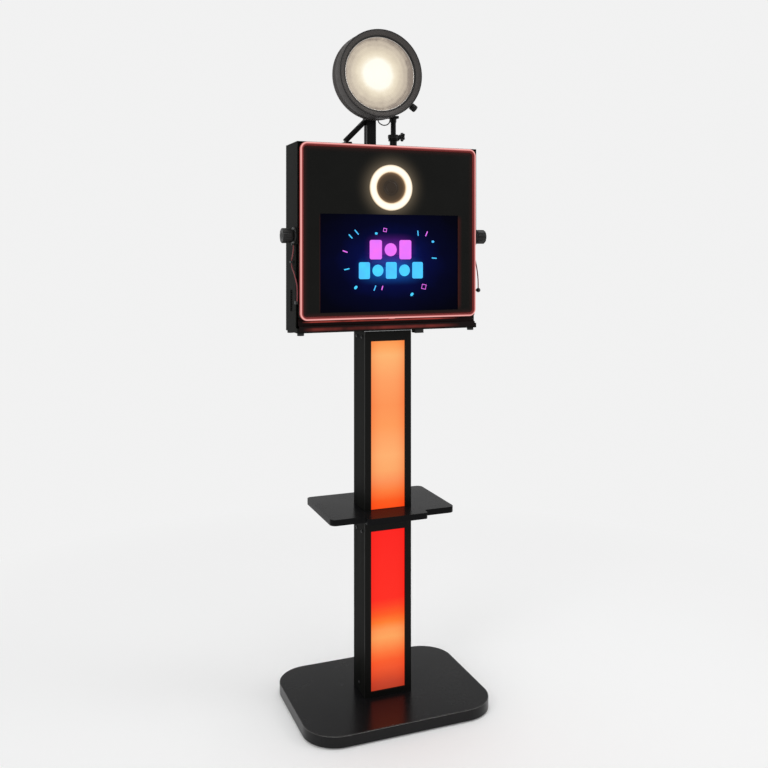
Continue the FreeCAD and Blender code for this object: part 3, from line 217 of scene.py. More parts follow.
floor_white = Finish("floor_white", Base_Color=(0.8, 0.8, 0.8), Roughness=0.8, Emission_Strength=1.0,
                     Specular_IOR_Level=0.0)
from_booth = (floor_white.axis("x") ** 2.0 + floor_white.axis("y") ** 2.0) ** 0.5
faded = (from_booth * 0.62 - 0.30).capped()
floor_tone = floor_white.between((0.87, 0.87, 0.87), (0.885, 0.885, 0.885), floor_white.noise(1.5))
floor_white.set("Base Color", floor_white.between(floor_tone, (0.0, 0.0, 0.0), faded))
front_shade = 0.30
far_off = (from_booth * 0.5 - 1.3).capped()
ahead = ((0.0 - floor_white.axis("y") / from_booth - 0.05) / 0.5).capped()
distant = floor_white.between((0.885, 0.885, 0.885), (0.0, 0.0, 0.0), far_off * ahead * front_shade)
floor_white.set("Emission Color", floor_white.between((0.13, 0.13, 0.13), distant, faded))
reach = 9.0
floor_corners = [(x * reach, y * reach, 0) for x, y in ((-1, -1), (1, -1), (1, 1), (-1, 1))]
sweep = plain_mesh("floor", floor_corners, [(0, 1, 2, 3)])
link("floor", sweep, floor_white, None)

surroundings = bpy.data.worlds.new("white_room")
surroundings.use_nodes = True
room = surroundings.node_tree


def room_direction(letter):
    """One component of the direction looked in, out into the room."""
    seen = room.nodes.new("ShaderNodeTexCoord")
    parts = room.nodes.new("ShaderNodeSeparateXYZ")
    room.links.new(seen.outputs["Generated"], parts.inputs[0])
    return Wire(parts.outputs[letter])


overhead = ((room_direction("Z") - 0.285) / 0.16).capped()
in_front = ((0.0 - room_direction("Y") - 0.05) / 0.5).capped()
paleness = 0.885 * (1.0 - 0.72 * overhead) * (1.0 - front_shade * in_front)
room.links.new(paleness.socket, room.nodes["Background"].inputs["Color"])
bpy.context.scene.world = surroundings
bpy.context.scene.view_settings.view_transform = "Standard"


def soft_box(name, place, aim, size, power):
    lamp = bpy.data.lights.new(name, "AREA")
    lamp.shape = "RECTANGLE"
    lamp.size, lamp.size_y = size
    lamp.energy = power
    box = bpy.data.objects.new(name, lamp)
    box.location = place
    box.rotation_euler = (Vector(aim) - Vector(place)).to_track_quat("-Z", "Y").to_euler()
    bpy.context.scene.collection.objects.link(box)


soft_box("light_left", (-3.2, -2.4, 3.0), (0, 0, 1.0), (1.6, 2.0), 34)
soft_box("light_right", (2.8, -1.6, 3.0), (0, 0, 1.2), (1.2, 2.0), 24)
soft_box("light_top", (0.2, 0.2, 4.6), (0, 0, 0), (4.0, 4.0), 121)

# ------------------------------------------------------------------ base plate
# A 32 mm board with gloss black laminate on both sides and routed round corners, with a thin
# pale line along its top edge that is a painted highlight. Steel ballast sits beneath.


def dress(finish, *names):
    """Gives CAD nodes one finish."""
    for name in names:
        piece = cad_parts[name]
        piece.data.materials.clear()
        piece.data.materials.append(finish.material)


def ease(width, *names, segments=2):
    """Rounds the sharp edges of CAD nodes by a small bevel, without touching their own mesh."""
    for name in names:
        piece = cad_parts[name]
        welded = piece.modifiers.new("weld", "WELD")
        welded.merge_threshold = 1e-6
        bevel = piece.modifiers.new("eased_edges", "BEVEL")
        bevel.width = width
        bevel.segments = segments
        bevel.limit_method = "ANGLE"
        bevel.angle_limit = math.radians(40)
        bevel.harden_normals = True


def grained(name, base, tones, rough, relief, **fixed):
    """A finish with uneven colour, uneven roughness and fine relief, each from a noise of its own.

    tones is (dark, light, noise values), rough is (least, spread, noise values) or None, and
    relief is (depth, strength, noise values)."""
    finish = Finish(name, Base_Color=base, **fixed)
    if tones:
        dark, light, *grain = tones
        finish.set("Base Color", finish.between(dark, light, finish.noise(*grain)))
    if rough:
        least, spread, *grain = rough
        finish.set("Roughness", least + spread * finish.noise(*grain))
    depth, strength, *grain = relief
    finish.bump(finish.noise(*grain), depth, strength)
    return finish


def laminate(name, shine):
    """Gloss black laminate with fine dust and wiped smears."""
    finish = Finish(name, Base_Color=(0.012, 0.012, 0.013), Specular_IOR_Level=shine)
    dust = finish.noise(900, 2)
    smears = finish.noise(7, 4, 0.6)
    finish.set("Roughness", 0.17 + 0.12 * smears + 0.05 * dust)
    finish.set("Base Color", finish.between(
        (0.007, 0.007, 0.0075), (0.024, 0.023, 0.022), ((dust - 0.62) * 6.0).capped() * 0.6
    ))
    finish.bump(finish.noise(90, 3), 0.00015, 0.25)
    return finish


piano_black = laminate("piano_black", 0.22)

# Painted highlight: a pale grey band on the top edge chamfer stands in for light caught along the edge.
painted_edge_highlight = grained(
    "painted_edge_highlight", (0.42, 0.41, 0.39), ((0.06, 0.058, 0.056), (0.26, 0.255, 0.245), 24, 3), None,
    (0.0002, 0.3, 700), Roughness=0.35)

dress(piano_black, "base_plate")
base_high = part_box("base_plate")[1]
trim_corner = 0.1
highlight_width = 0.0007


def round_rectangle(half_x, half_y, corner, steps=16):
    """Points round a rectangle with arcs for corners, anticlockwise from the right."""
    points = []
    for quarter, (sx, sy) in enumerate(((1, 1), (-1, 1), (-1, -1), (1, -1))):
        for i in range(steps + 1):
            turn = math.pi / 2 * (quarter + i / steps)
            points.append((
                sx * (half_x - corner) + corner * math.cos(turn),
                sy * (half_y - corner) + corner * math.sin(turn),
            ))
    return points


def band(name, inner, outer, finish, body):
    """A flat or sloping closed band between two loops of points."""
    count = len(inner)
    faces = [(i, (i + 1) % count, count + (i + 1) % count, count + i) for i in range(count)]
    return link(name, plain_mesh(name, list(inner) + list(outer), faces, True), finish, body)


chamfer = 0.0015
lift = 0.00012
inset = chamfer + highlight_width
inner_line = round_rectangle(base_high.x - inset, base_high.y - inset, trim_corner - inset)
outer_line = round_rectangle(base_high.x + lift, base_high.y + lift, trim_corner + lift)
# The band carrying the painted edge highlight.
band(
    "base_edge_highlight",
    [(x, y, base_high.z + lift) for x, y in inner_line],
    [(x, y, base_high.z - chamfer + lift) for x, y in outer_line],
    painted_edge_highlight, "stand",
)

rubber = grained(
    "black_rubber", (0.02, 0.02, 0.02), ((0.014, 0.014, 0.014), (0.035, 0.034, 0.033), 80),
    (0.7, 0.2, 200), (0.0003, 0.4, 900, 4))
dress(rubber, "base_pads", "head_feet", "gland_block")
ease(0.001, "base_pads", "head_feet", "gland_block")

raw_steel = Finish("raw_steel", Base_Color=(0.5, 0.5, 0.51), Metallic=0.9, Roughness=0.4)
grain = raw_steel.noise(40, 4, 0.6, (1, 30, 1))
raw_steel.set("Roughness", 0.28 + 0.25 * grain)
raw_steel.set("Base Color", raw_steel.between((0.32, 0.32, 0.33), (0.6, 0.6, 0.61), grain))
raw_steel.bump(grain, 0.0001, 0.3)
dress(raw_steel, "base_ballast", "column_brackets", "shelf_cleats", "power_supply", "tilt_pin")

# ------------------------------------------------------------------ column
# Folded sheet-steel box in matt black powder coat, closed in front by a satin black frame
# with two windows; small button-head screws hold the inner brackets through its sides.
powder_black = Finish("powder_black", Base_Color=(0.012, 0.012, 0.011), Specular_IOR_Level=0.018)
pebble = powder_black.noise(650, 4, 0.6)
handling = powder_black.noise(5, 4, 0.6)
powder_black.set("Roughness", 0.42 + 0.16 * handling + 0.06 * pebble)
powder_black.set("Base Color", powder_black.between(
    (0.0058, 0.0060, 0.0054), (0.0125, 0.0128, 0.0115), handling))
powder_black.bump(pebble, 0.0004, 0.35)
dress(powder_black, "column_shell")
ease(0.0008, "column_shell", "mast_brackets", "stay_tube", "cross_arm", "lamp_lug")

satin_black = Finish("satin_black", Base_Color=(0.008, 0.008, 0.0075), Specular_IOR_Level=0.085)
brushing = satin_black.noise(300, 3)
touches = satin_black.noise(6, 5, 0.6)
satin_black.set("Roughness", 0.34 + 0.14 * touches + 0.04 * brushing)
satin_black.set("Base Color", satin_black.between(
    (0.0045, 0.0045, 0.0040), (0.009, 0.009, 0.0082), touches))
satin_black.bump(brushing, 0.0002, 0.2)
dress(satin_black, "column_front")
ease(0.0006, "column_front", "front_panel")

screw_steel = grained(
    "screw_black_oxide", (0.05, 0.05, 0.052), None, (0.22, 0.2, 400), (0.0001, 0.2, 1500), Metallic=0.8)


def lofted(name, rings, smooth=False):
    """Skins rings of equal length, in order, and closes both ends."""
    sides = len(rings[0])
    last = (len(rings) - 1) * sides
    faces = []
    for start in range(0, last, sides):
        for i in range(sides):
            a, b = start + i, start + (i + 1) % sides
            faces.append((a, b, b + sides, a + sides))
    faces += [tuple(reversed(range(sides))), tuple(range(last, last + sides))]
    return plain_mesh(name, [corner for ring in rings for corner in ring], faces, smooth)


head_radius = 0.0048
head_height = 0.0026


def button_screw(name, place, outward, sides=24):
    """A domed socket screw head with a hexagon recess, facing outward along x."""
    turns = [2 * math.pi * i / sides for i in range(sides)]
    recess = 0.40 * math.cos(math.pi / 6)
    hexagon = [recess / math.cos(turn % (math.pi / 3) - math.pi / 6) for turn in turns]
    dome = [(1.0, 0.0), (1.0, 0.25), (0.93, 0.6), (0.72, 0.9), (0.46, 1.0)]
    stations = [([wide] * sides, tall) for wide, tall in dome] + [(hexagon, 1.0), (hexagon, 0.25)]
    rings = []
    for widths, tall in stations:
        rings.append([
            (tall * head_height, wide * head_radius * math.cos(turn), wide * head_radius * math.sin(turn))
            for wide, turn in zip(widths, turns)
        ])
    mesh = lofted(name, rings)
    mesh.transform(Matrix.Translation(place) @ Matrix.Scale(outward, 4, (1, 0, 0)))
    if outward < 0:
        mesh.flip_normals()
    return mesh


screws_low, screws_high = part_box("column_screws")
shell_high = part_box("column_shell")[1]
shelf_screw_z = 0.528
top_screw_z = screws_high.z - head_radius
apart = 0.022
spots = [(z, side * apart) for z in (top_screw_z, shelf_screw_z) for side in (-1, 1)]
spots.append((screws_low.z + head_radius, 0.0))
heads = bmesh.new()
for z, y in spots:
    for outward in (-1, 1):
        heads.from_mesh(button_screw("head", (outward * shell_high.x, y, z), outward))
screw_mesh = bpy.data.meshes.new("column_screw_heads")
heads.to_mesh(screw_mesh)
heads.free()
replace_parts(link("column_screw_heads", screw_mesh, screw_steel, "stand"), "column_screws")

# ------------------------------------------------------------------ lit windows of the column
# Opal acrylic behind each window, lit from inside: orange fading to deep red-orange in the
# upper one, red above a bright orange patch in the lower one.


def lit_acrylic(name, spread, side_share, stops):
    """Glowing sheet whose colour follows its height and deepens to its side edges."""
    finish = Finish(name, Base_Color=(0.02, 0.008, 0.004), Roughness=0.35, Emission_Strength=1.0,
                    Specular_IOR_Level=0.08)
    low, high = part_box(spread)
    rise = (finish.axis("z") - low.z) / (high.z - low.z)
    cloudy = finish.noise(14, 3, 0.5) - 0.5
    colour = finish.ramp((rise + cloudy * 0.03).capped(), stops)
    side = (abs(finish.axis("x")) / 0.055) ** 3.0
    deeper = finish.node("ShaderNodeMix", {"data_type": "RGBA", "blend_type": "MULTIPLY"},
                         {6: colour, 7: (0.92, 0.55, 0.42), 0: (side * side_share).capped()}, 2)
    finish.set("Emission Color", deeper)
    finish.set("Roughness", 0.3 + 0.2 * finish.noise(120))
    finish.bump(finish.noise(500), 0.0001, 0.2)
    return finish


upper_glow = lit_acrylic("lit_upper_acrylic", "upper_diffuser", 0.7, [
    (0.0, (1.0, 0.075, 0.008)), (0.055, (0.98, 0.109, 0.014)), (0.113, (0.98, 0.205, 0.045)),
    (0.17, (0.97, 0.296, 0.10)), (0.23, (0.97, 0.392, 0.138)), (0.318, (0.98, 0.43, 0.16)),
    (0.406, (0.98, 0.38, 0.135)), (0.494, (0.98, 0.332, 0.102)), (0.61, (0.97, 0.30, 0.093)),
    (0.758, (0.98, 0.352, 0.122)), (0.904, (0.97, 0.46, 0.168)), (0.963, (0.98, 0.362, 0.102)),
    (1.0, (0.98, 0.30, 0.08)),
])
lower_glow = lit_acrylic("lit_lower_acrylic", "lower_diffuser", 0.6, [
    (0.0, (0.45, 0.045, 0.02)), (0.056, (0.578, 0.058, 0.025)), (0.091, (0.72, 0.074, 0.025)),
    (0.139, (0.87, 0.095, 0.028)), (0.186, (0.95, 0.109, 0.026)), (0.233, (0.98, 0.178, 0.042)),
    (0.281, (0.98, 0.283, 0.078)), (0.328, (0.97, 0.376, 0.112)), (0.376, (0.98, 0.328, 0.095)),
    (0.423, (0.98, 0.202, 0.028)), (0.47, (0.98, 0.102, 0.015)), (0.518, (0.98, 0.05, 0.0144)),
    (0.565, (0.98, 0.021, 0.012)), (1.0, (0.97, 0.0125, 0.011)),
])
dress(upper_glow, "upper_diffuser")
dress(lower_glow, "lower_diffuser")

strip_white = grained(
    "strip_white", (0.8, 0.8, 0.78), ((0.7, 0.7, 0.68), (0.85, 0.85, 0.83), 200), None,
    (0.0001, 0.2, 900), Roughness=0.4)
dress(strip_white, "led_strips", "ring_board")

# ------------------------------------------------------------------ shelf
# 18 mm board in the same gloss black laminate, routed to shape round the column and
# screwed to two steel cleats under it.
shelf_black = laminate("shelf_laminate", 0.04)
dress(shelf_black, "shelf_board")
ease(0.0012, "shelf_board")

# ------------------------------------------------------------------ head case
# Folded steel case in matt powder coat, open in front for the tilting unit, with a louvred
# vent in each side. Its rear door has the same coat, thicker and a shade lighter.
dress(powder_black, "head_case", "unit_chassis")
ease(0.0012, "head_case", "rear_door")
door_black = Finish("door_powder", Base_Color=(0.022, 0.022, 0.021), Specular_IOR_Level=0.2)
door_pebble = door_black.noise(520, 4, 0.6)
door_wear = door_black.noise(6, 4, 0.6)
door_black.set("Roughness", 0.40 + 0.18 * door_wear + 0.06 * door_pebble)
door_black.set("Base Color", door_black.between((0.014, 0.0142, 0.0136), (0.030, 0.030, 0.028), door_wear))
door_black.bump(door_pebble, 0.0005, 0.4)
dress(door_black, "rear_door")
case_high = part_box("head_case")[1]


def mesh_grille(name, x, y0, y1, z0, z1, body, rows=9):
    """Louvre blades across a side vent, pitched like a shutter."""
    blade = (z1 - z0) / rows
    corners = []
    faces = []
    thick = 0.0008
    for i in range(rows):
        z = z0 + (i + 0.2) * blade
        start = len(corners)
        for dx, dz in ((0, 0), (thick, 0), (thick + 0.004, blade * 0.75), (0.004, blade * 0.75)):
            for y in (y0, y1):
                corners.append((x + math.copysign(dx, -x), y, z + dz))
        quad = [start + k for k in range(8)]
        faces += [(quad[0], quad[1], quad[3], quad[2]), (quad[2], quad[3], quad[5], quad[4]),
                  (quad[4], quad[5], quad[7], quad[6]), (quad[6], quad[7], quad[1], quad[0]),
                  (quad[0], quad[2], quad[4], quad[6]), (quad[1], quad[7], quad[5], quad[3])]
    return link(name, plain_mesh(name, corners, faces), powder_black, body)


vent_y = (-0.0148, 0.0078)
vent_z = (1.1975, 1.2595)
for side, label in ((-1, "left"), (1, "right")):
    mesh_grille(f"vent_louvres_{label}", side * (case_high.x - 0.0005), *vent_y, *vent_z, "stand")

# ------------------------------------------------------------------ rim light
# Silicone neon tube let into the front edge all the way round: salmon where the light is
# strong in the middle, red at its sides.
neon = Finish("neon_silicone", Base_Color=(0.10, 0.015, 0.014), Roughness=0.4, Emission_Strength=1.0,
              Specular_IOR_Level=0.2)
rim_low, rim_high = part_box("rim_light")
rim_z = (rim_low.z + rim_high.z) / 2
rim_corner = 0.022


def inside_rim(finish):
    """Distance inwards from the rounded rectangle of the rim's outer edge."""
    across = abs(finish.axis("x")) - (rim_high.x - rim_corner)
    upward = abs(finish.axis("z") - rim_z) - (rim_high.z - rim_z - rim_corner)
    out_x = across.work("MAXIMUM", across, 0.0)
    out_z = upward.work("MAXIMUM", upward, 0.0)
    corner = (out_x ** 2.0 + out_z ** 2.0) ** 0.5
    flat = across.work("MINIMUM", across.work("MAXIMUM", across, upward), 0.0)
    return rim_corner - corner - flat


facing = neon.node("ShaderNodeSeparateXYZ", values={
    "Vector": neon.node("ShaderNodeNewGeometry", output="Normal")}, output="Y")
wavering = neon.noise(3.2, 2)
glow = neon.ramp((inside_rim(neon) / 0.0105).capped(), [
    (0.0, (0.50, 0.20, 0.185)), (0.10, (0.84, 0.40, 0.365)), (0.26, (1.0, 0.53, 0.49)),
    (0.41, (0.70, 0.27, 0.25)), (0.56, (0.26, 0.043, 0.040)), (0.74, (0.075, 0.009, 0.009)),
    (1.0, (0.030, 0.005, 0.005)),
])
lively = neon.between((0.85, 0.80, 0.82), (1.0, 1.0, 1.0), (wavering * 2.4 - 0.7).capped())
glow = neon.node("ShaderNodeMix", {"data_type": "RGBA", "blend_type": "MULTIPLY"},
                 {6: glow, 7: lively, 0: 1.0}, 2)
neon.set("Emission Color", neon.between((0.20, 0.022, 0.020), glow, (0.0 - facing * 1.6).capped()))
neon.set("Roughness", 0.35 + 0.15 * neon.noise(150))
neon.bump(neon.noise(300), 0.0001, 0.2)
dress(neon, "rim_light")

clip_black = grained(
    "clip_black", (0.02, 0.02, 0.02), ((0.015, 0.015, 0.015), (0.032, 0.032, 0.032), 90),
    (0.4, 0.25, 300), (0.00015, 0.25, 1200, 3))


def sleeve(half, y_span, z_span, bulge, stations=7):
    """Rings of a short swelling sleeve round a bar that runs along x."""
    rings = []
    for i in range(stations):
        along = i / (stations - 1)
        swell = bulge * math.sin(math.pi * along) ** 0.5 if 0 < along < 1 else 0
        x = half * (2 * along - 1)
        front, back = y_span[0] - swell, y_span[1]
        below, above = z_span[0] - swell, z_span[1] + swell
        rings.append([(x, front, below), (x, back, below), (x, back, above), (x, front, above)])
    return rings


joint_rings = sleeve(0.011, (rim_low.y - 0.0004, rim_high.y - 0.001),
                     (rim_low.z - 0.0004, rim_low.z + 0.0109), 0.0006)
link("rim_joint_sleeve", lofted("rim_joint_sleeve", joint_rings), neon, "front_unit")

# ------------------------------------------------------------------ chin of the case
# Dark strip behind the gap under the tilting front, its darkness painted shade; on it and the lip,
# two dull red streaks of painted reflection of the rim light die away towards the right.
# Painted shade and painted reflection: a dark sheet in the gap, with red rim-light streaks painted into its
# emission.
chin = Finish("chin_shade_sheet", Base_Color=(0.004, 0.003, 0.003), Roughness=0.3, Emission_Strength=1.0,
              Specular_IOR_Level=0.1)
chin_z = chin.axis("z")
streak = (1.0 - abs(chin_z - 1.1458) / 0.0062).capped() ** 0.7
thin_streak = (1.0 - abs(chin_z - 1.1668) / 0.0028).capped()
dying = ((0.235 - chin.axis("x")) / 0.10).capped() * ((chin.axis("x") + 0.272) / 0.03).capped()
patchy = (chin.noise(16, 3, 0.6) * 1.6 - 0.25).capped()
painted_rim_reflection = ((streak * 0.62 + thin_streak * 2.0) * dying * patchy).capped()
chin.set("Emission Color", chin.between((0.0028, 0.0005, 0.0005), (0.36, 0.050, 0.038), painted_rim_reflection))
chin.set("Roughness", 0.25 + 0.2 * chin.noise(90))
chin.bump(chin.noise(300), 0.0001, 0.2)
chin_half = 0.2835
chin_section = [(-0.0665, 1.1395), (-0.0668, 1.1560), (-0.0560, 1.1570), (-0.0520, 1.1790)]
chin_corners = [(side * chin_half, y, z) for y, z in chin_section for side in (-1, 1)]
chin_faces = [(2 * i, 2 * i + 1, 2 * i + 3, 2 * i + 2) for i in range(len(chin_section) - 1)]
link("chin_shade_sheet", plain_mesh("chin_shade_sheet", chin_corners, chin_faces), chin, "stand")

# ------------------------------------------------------------------ ring light and camera
# Opal acrylic channel with its LED board behind it, round a smoked disc; the camera looks
# out through the disc.
ring_glow = Finish("ring_acrylic", Base_Color=(0.12, 0.11, 0.10), Roughness=0.35, Emission_Strength=1.0,
                   Specular_IOR_Level=0.1)
ring_low, ring_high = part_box("ring_diffuser")
ring_z = (ring_low.z + ring_high.z) / 2
ring_radius = (ring_high.z - ring_low.z) / 2


def away_from(finish, height, aside=0.0):
    """Distance from a line along y at that height, that far to the left, in metres."""
    return ((finish.axis("x") + aside) ** 2.0 + (finish.axis("z") - height) ** 2.0) ** 0.5


across_ring = (away_from(ring_glow, ring_z) - 0.0465) / (ring_radius - 0.0465)
ring_glow.set("Emission Color", ring_glow.ramp(across_ring.capped(), [
    (0.0, (0.62, 0.42, 0.24)), (0.12, (0.97, 0.84, 0.62)), (0.26, (1.0, 0.955, 0.84)),
    (0.72, (1.0, 0.965, 0.86)), (0.88, (0.98, 0.86, 0.66)), (1.0, (0.55, 0.40, 0.25)),
]))
ring_glow.set("Roughness", 0.3 + 0.15 * ring_glow.noise(300))
ring_glow.bump(ring_glow.noise(700), 0.0001, 0.2)
dress(ring_glow, "ring_diffuser")

# Painted light: the smoked disc is given a faint warm painted glow, brightest towards its rim next to the
# ring.
smoked = Finish("smoked_acrylic", Base_Color=(0.012, 0.009, 0.007), Specular_IOR_Level=0.07,
                Emission_Strength=1.0)
to_rim = away_from(smoked, ring_z) / 0.0462
smoked.set("Roughness", 0.12 + 0.08 * smoked.noise(120))
smoked.set("Emission Color", smoked.ramp(to_rim.capped(), [
    (0.0, (0.040, 0.028, 0.018)), (0.55, (0.046, 0.032, 0.020)), (0.82, (0.075, 0.048, 0.028)),
    (0.94, (0.15, 0.095, 0.055)), (1.0, (0.34, 0.22, 0.12)),
]))
smoked.bump(smoked.noise(500), 0.00005, 0.2)
dress(smoked, "camera_window")


def turned_mesh(name, profile, centre, steps=64, about="y", closed=False):
    """Turns (along, radius) points about an axis through centre."""
    rows = len(profile)
    corners = []
    for along, radius in profile:
        for i in range(steps):
            turn = 2 * math.pi * i / steps
            a, b = radius * math.cos(turn), radius * math.sin(turn)
            corners.append({"y": (a, along, b), "x": (along, a, b), "z": (a, b, along)}[about])
    faces = []
    for row in range(rows if closed else rows - 1):
        after = (row + 1) % rows
        for i in range(steps):
            j = (i + 1) % steps
            faces.append((row * steps + i, row * steps + j, after * steps + j, after * steps + i))
    corners = [(x + centre[0], y + centre[1], z + centre[2]) for x, y, z in corners]
    mesh = plain_mesh(name, corners, faces, True)
    made = bmesh.new()
    made.from_mesh(mesh)
    bmesh.ops.remove_doubles(made, verts=made.verts, dist=1e-7)
    bmesh.ops.recalc_face_normals(made, faces=made.faces)
    made.to_mesh(mesh)
    made.free()
    return mesh


lens_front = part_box("camera_window")[0].y
# Painted light: the black lens carries a faint warm painted glow in its emission.
lens_black = Finish("lens_black", Base_Color=(0.008, 0.006, 0.005), Roughness=0.3, Specular_IOR_Level=0.15,
                    Emission_Strength=1.0, Emission_Color=(0.030, 0.021, 0.014))
lens_black.set("Roughness", 0.2 + 0.15 * lens_black.noise(400))
lens_black.bump(lens_black.noise(900), 0.0001, 0.2)
lens_rings = [(0.0, 0.0), (-0.0004, 0.006), (-0.0006, 0.011), (-0.0004, 0.0145), (-0.0011, 0.0155),
              (-0.0011, 0.0175), (-0.0003, 0.0182), (0.0002, 0.0205), (-0.0008, 0.0212), (-0.0008, 0.0235),
              (0.0, 0.0240)]
lens_profile = [(lens_front - 0.0001 + a, r) for a, r in lens_rings]
link("camera_lens_front", turned_mesh("camera_lens_front", lens_profile, (0, 0, ring_z), 72),
     lens_black, "front_unit")

# ------------------------------------------------------------------ screen
# Flat display behind toughened glass, showing a generic start picture: a dark blue field
# with two rows of plain tiles and discs, and a scatter of small confetti marks.
open_low = Vector((-0.222, 0, 1.194))
open_high = Vector((0.222, 0, 1.4835))
picture_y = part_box("touch_glass")[0].y - 0.0002
screen_half = open_high.x
middle_z = (open_low.z + open_high.z) / 2

field = Finish("screen_field", Base_Color=(0.001, 0.001, 0.002), Roughness=0.12, Emission_Strength=1.0,
               Specular_IOR_Level=0.018)
from_middle = (
    (field.axis("x") / 0.15) ** 2.0 + ((field.axis("z") - (middle_z + 0.004)) / 0.10) ** 2.0
) ** 0.5
cloud = field.noise(18, 4, 0.6)
field.set("Emission Color", field.ramp((from_middle * 0.42 + (cloud - 0.5) * 0.16).capped(), [
    (0.0, (0.006, 0.020, 0.24)), (0.14, (0.003, 0.010, 0.13)), (0.30, (0.0012, 0.003, 0.048)),
    (0.50, (0.0004, 0.0010, 0.014)), (0.75, (0.0001, 0.0003, 0.004)), (1.0, (0.0, 0.0, 0.001)),
]))
field.set("Roughness", 0.10 + 0.05 * field.noise(40))


def sheet_at(name, x0, x1, z0, z1, y, finish, body, cells=(1, 1)):
    """A flat upright sheet facing forwards or back, in so many columns and rows."""
    columns, rows = cells
    corners = [(x0 + (x1 - x0) * i / columns, y, z0 + (z1 - z0) * j / rows)
               for j in range(rows + 1) for i in range(columns + 1)]
    faces = [(j * (columns + 1) + i, j * (columns + 1) + i + 1,
              (j + 1) * (columns + 1) + i + 1, (j + 1) * (columns + 1) + i)
             for j in range(rows) for i in range(columns)]
    return link(name, plain_mesh(name, corners, faces), finish, body)


field_sheet = sheet_at("screen_picture", -screen_half, screen_half, open_low.z, open_high.z,
                       picture_y, field, "front_unit", (12, 8))


def lit_colour(name, inner, outer, strength, scale=30):
    """A glowing picture colour with a little variation."""
    finish = Finish(name, Base_Color=(0.01, 0.01, 0.01), Roughness=0.2, Emission_Strength=strength,
                    Specular_IOR_Level=0.05)
    finish.set("Emission Color", finish.between(inner, outer, finish.noise(scale, 2)))
    return finish


magenta = lit_colour("screen_magenta", (1.0, 0.16, 0.80), (0.60, 0.16, 1.0), 1.1)
cyan = lit_colour("screen_cyan", (0.05, 0.75, 1.0), (0.08, 0.35, 1.0), 1.1)
mark_y = picture_y - 0.0002


def on_screen(u, v):
    """A place on the picture from shares of its width and height, counted from its top left."""
    return (-screen_half + 2 * screen_half * u, open_high.z - (open_high.z - open_low.z) * v)


def stroke(u, v, length, turn, wide=0.0034):
    """Corners of a short round-ended bar."""
    x, z = on_screen(u, v)
    angle = math.radians(turn)
    along = Vector((math.cos(angle), math.sin(angle)))
    points = []
    for end in (1, -1):
        for i in range(7):
            swing = angle + math.pi / 2 * (1 - end) + math.radians(-90 + 30 * i)
            points.append((x + along.x * end * length / 2 + wide / 2 * math.cos(swing),
                           z + along.y * end * length / 2 + wide / 2 * math.sin(swing)))
    return points


def hoop(u, v, size, sides, turn, wide=0.0024):
    """Outer and inner corners of a small outlined shape."""
    x, z = on_screen(u, v)
    loops = []
    for radius in (size / 2, size / 2 - wide):
        loops.append([(x + radius * math.cos(math.radians(turn) + 2 * math.pi * i / sides),
                       z + radius * math.sin(math.radians(turn) + 2 * math.pi * i / sides))
                      for i in range(sides)])
    return loops


def picture_piece(name, finish, shapes, hoops=()):
    """One flat piece of the picture, of filled shapes and of (outer, inner) outlines."""
    corners, faces = [], []
    for points in shapes:
        start = len(corners)
        corners += [(x, mark_y, z) for x, z in points]
        faces.append(tuple(range(start, start + len(points))))
    for outer, inner in hoops:
        start = len(corners)
        count = len(outer)
        corners += [(x, mark_y, z) for x, z in outer + inner]
        faces += [(start + i, start + (i + 1) % count, start + count + (i + 1) % count, start + count + i)
                  for i in range(count)]
    link(name, plain_mesh(name, corners, faces), finish, "front_unit")


picture_piece("screen_marks_cyan", cyan, [
    stroke(0.255, 0.185, 0.016, 132), stroke(0.212, 0.228, 0.013, 134), stroke(0.395, 0.196, 0.002, 0, 0.007),
    stroke(0.70, 0.19, 0.013, 95), stroke(0.812, 0.278, 0.002, 0, 0.007), stroke(0.822, 0.452, 0.014, -4),
    stroke(0.186, 0.562, 0.014, 12), stroke(0.385, 0.758, 0.014, 68), stroke(0.655, 0.83, 0.004, 45, 0.008),
    stroke(0.249, 0.749, 0.004, 45, 0.008),
])
picture_piece("screen_marks_magenta", magenta, [
    stroke(0.764, 0.196, 0.013, 66), stroke(0.174, 0.382, 0.013, 160), stroke(0.438, 0.758, 0.010, 74),
], [hoop(0.458, 0.160, 0.016, 4, 35), hoop(0.744, 0.752, 0.021, 4, 33)])


def tile_row(name, count, left, right, height_share, tall, finish):
    """Evenly placed blocks of colour, by turns a round-cornered tile and a disc."""
    step = (right - left) / count
    broad = step * 2 * screen_half * 0.41
    high = tall * 0.5
    solid = []
    for i in range(count):
        x, z = on_screen(left + (i + 0.5) * step, height_share)
        if i % 2:
            solid.append([(x + broad * math.cos(math.tau * k / 28),
                           z + broad * math.sin(math.tau * k / 28)) for k in range(28)])
            continue
        soft = broad * 0.30
        points = []
        for quarter, (sx, sz) in enumerate(((1, 1), (-1, 1), (-1, -1), (1, -1))):
            for k in range(6):
                swing = quarter * math.pi / 2 + k * math.pi / 10
                points.append((x + sx * (broad - soft) + soft * math.cos(swing),
                               z + sz * (high - soft) + soft * math.sin(swing)))
        solid.append(points)
    picture_piece(name, finish, solid)


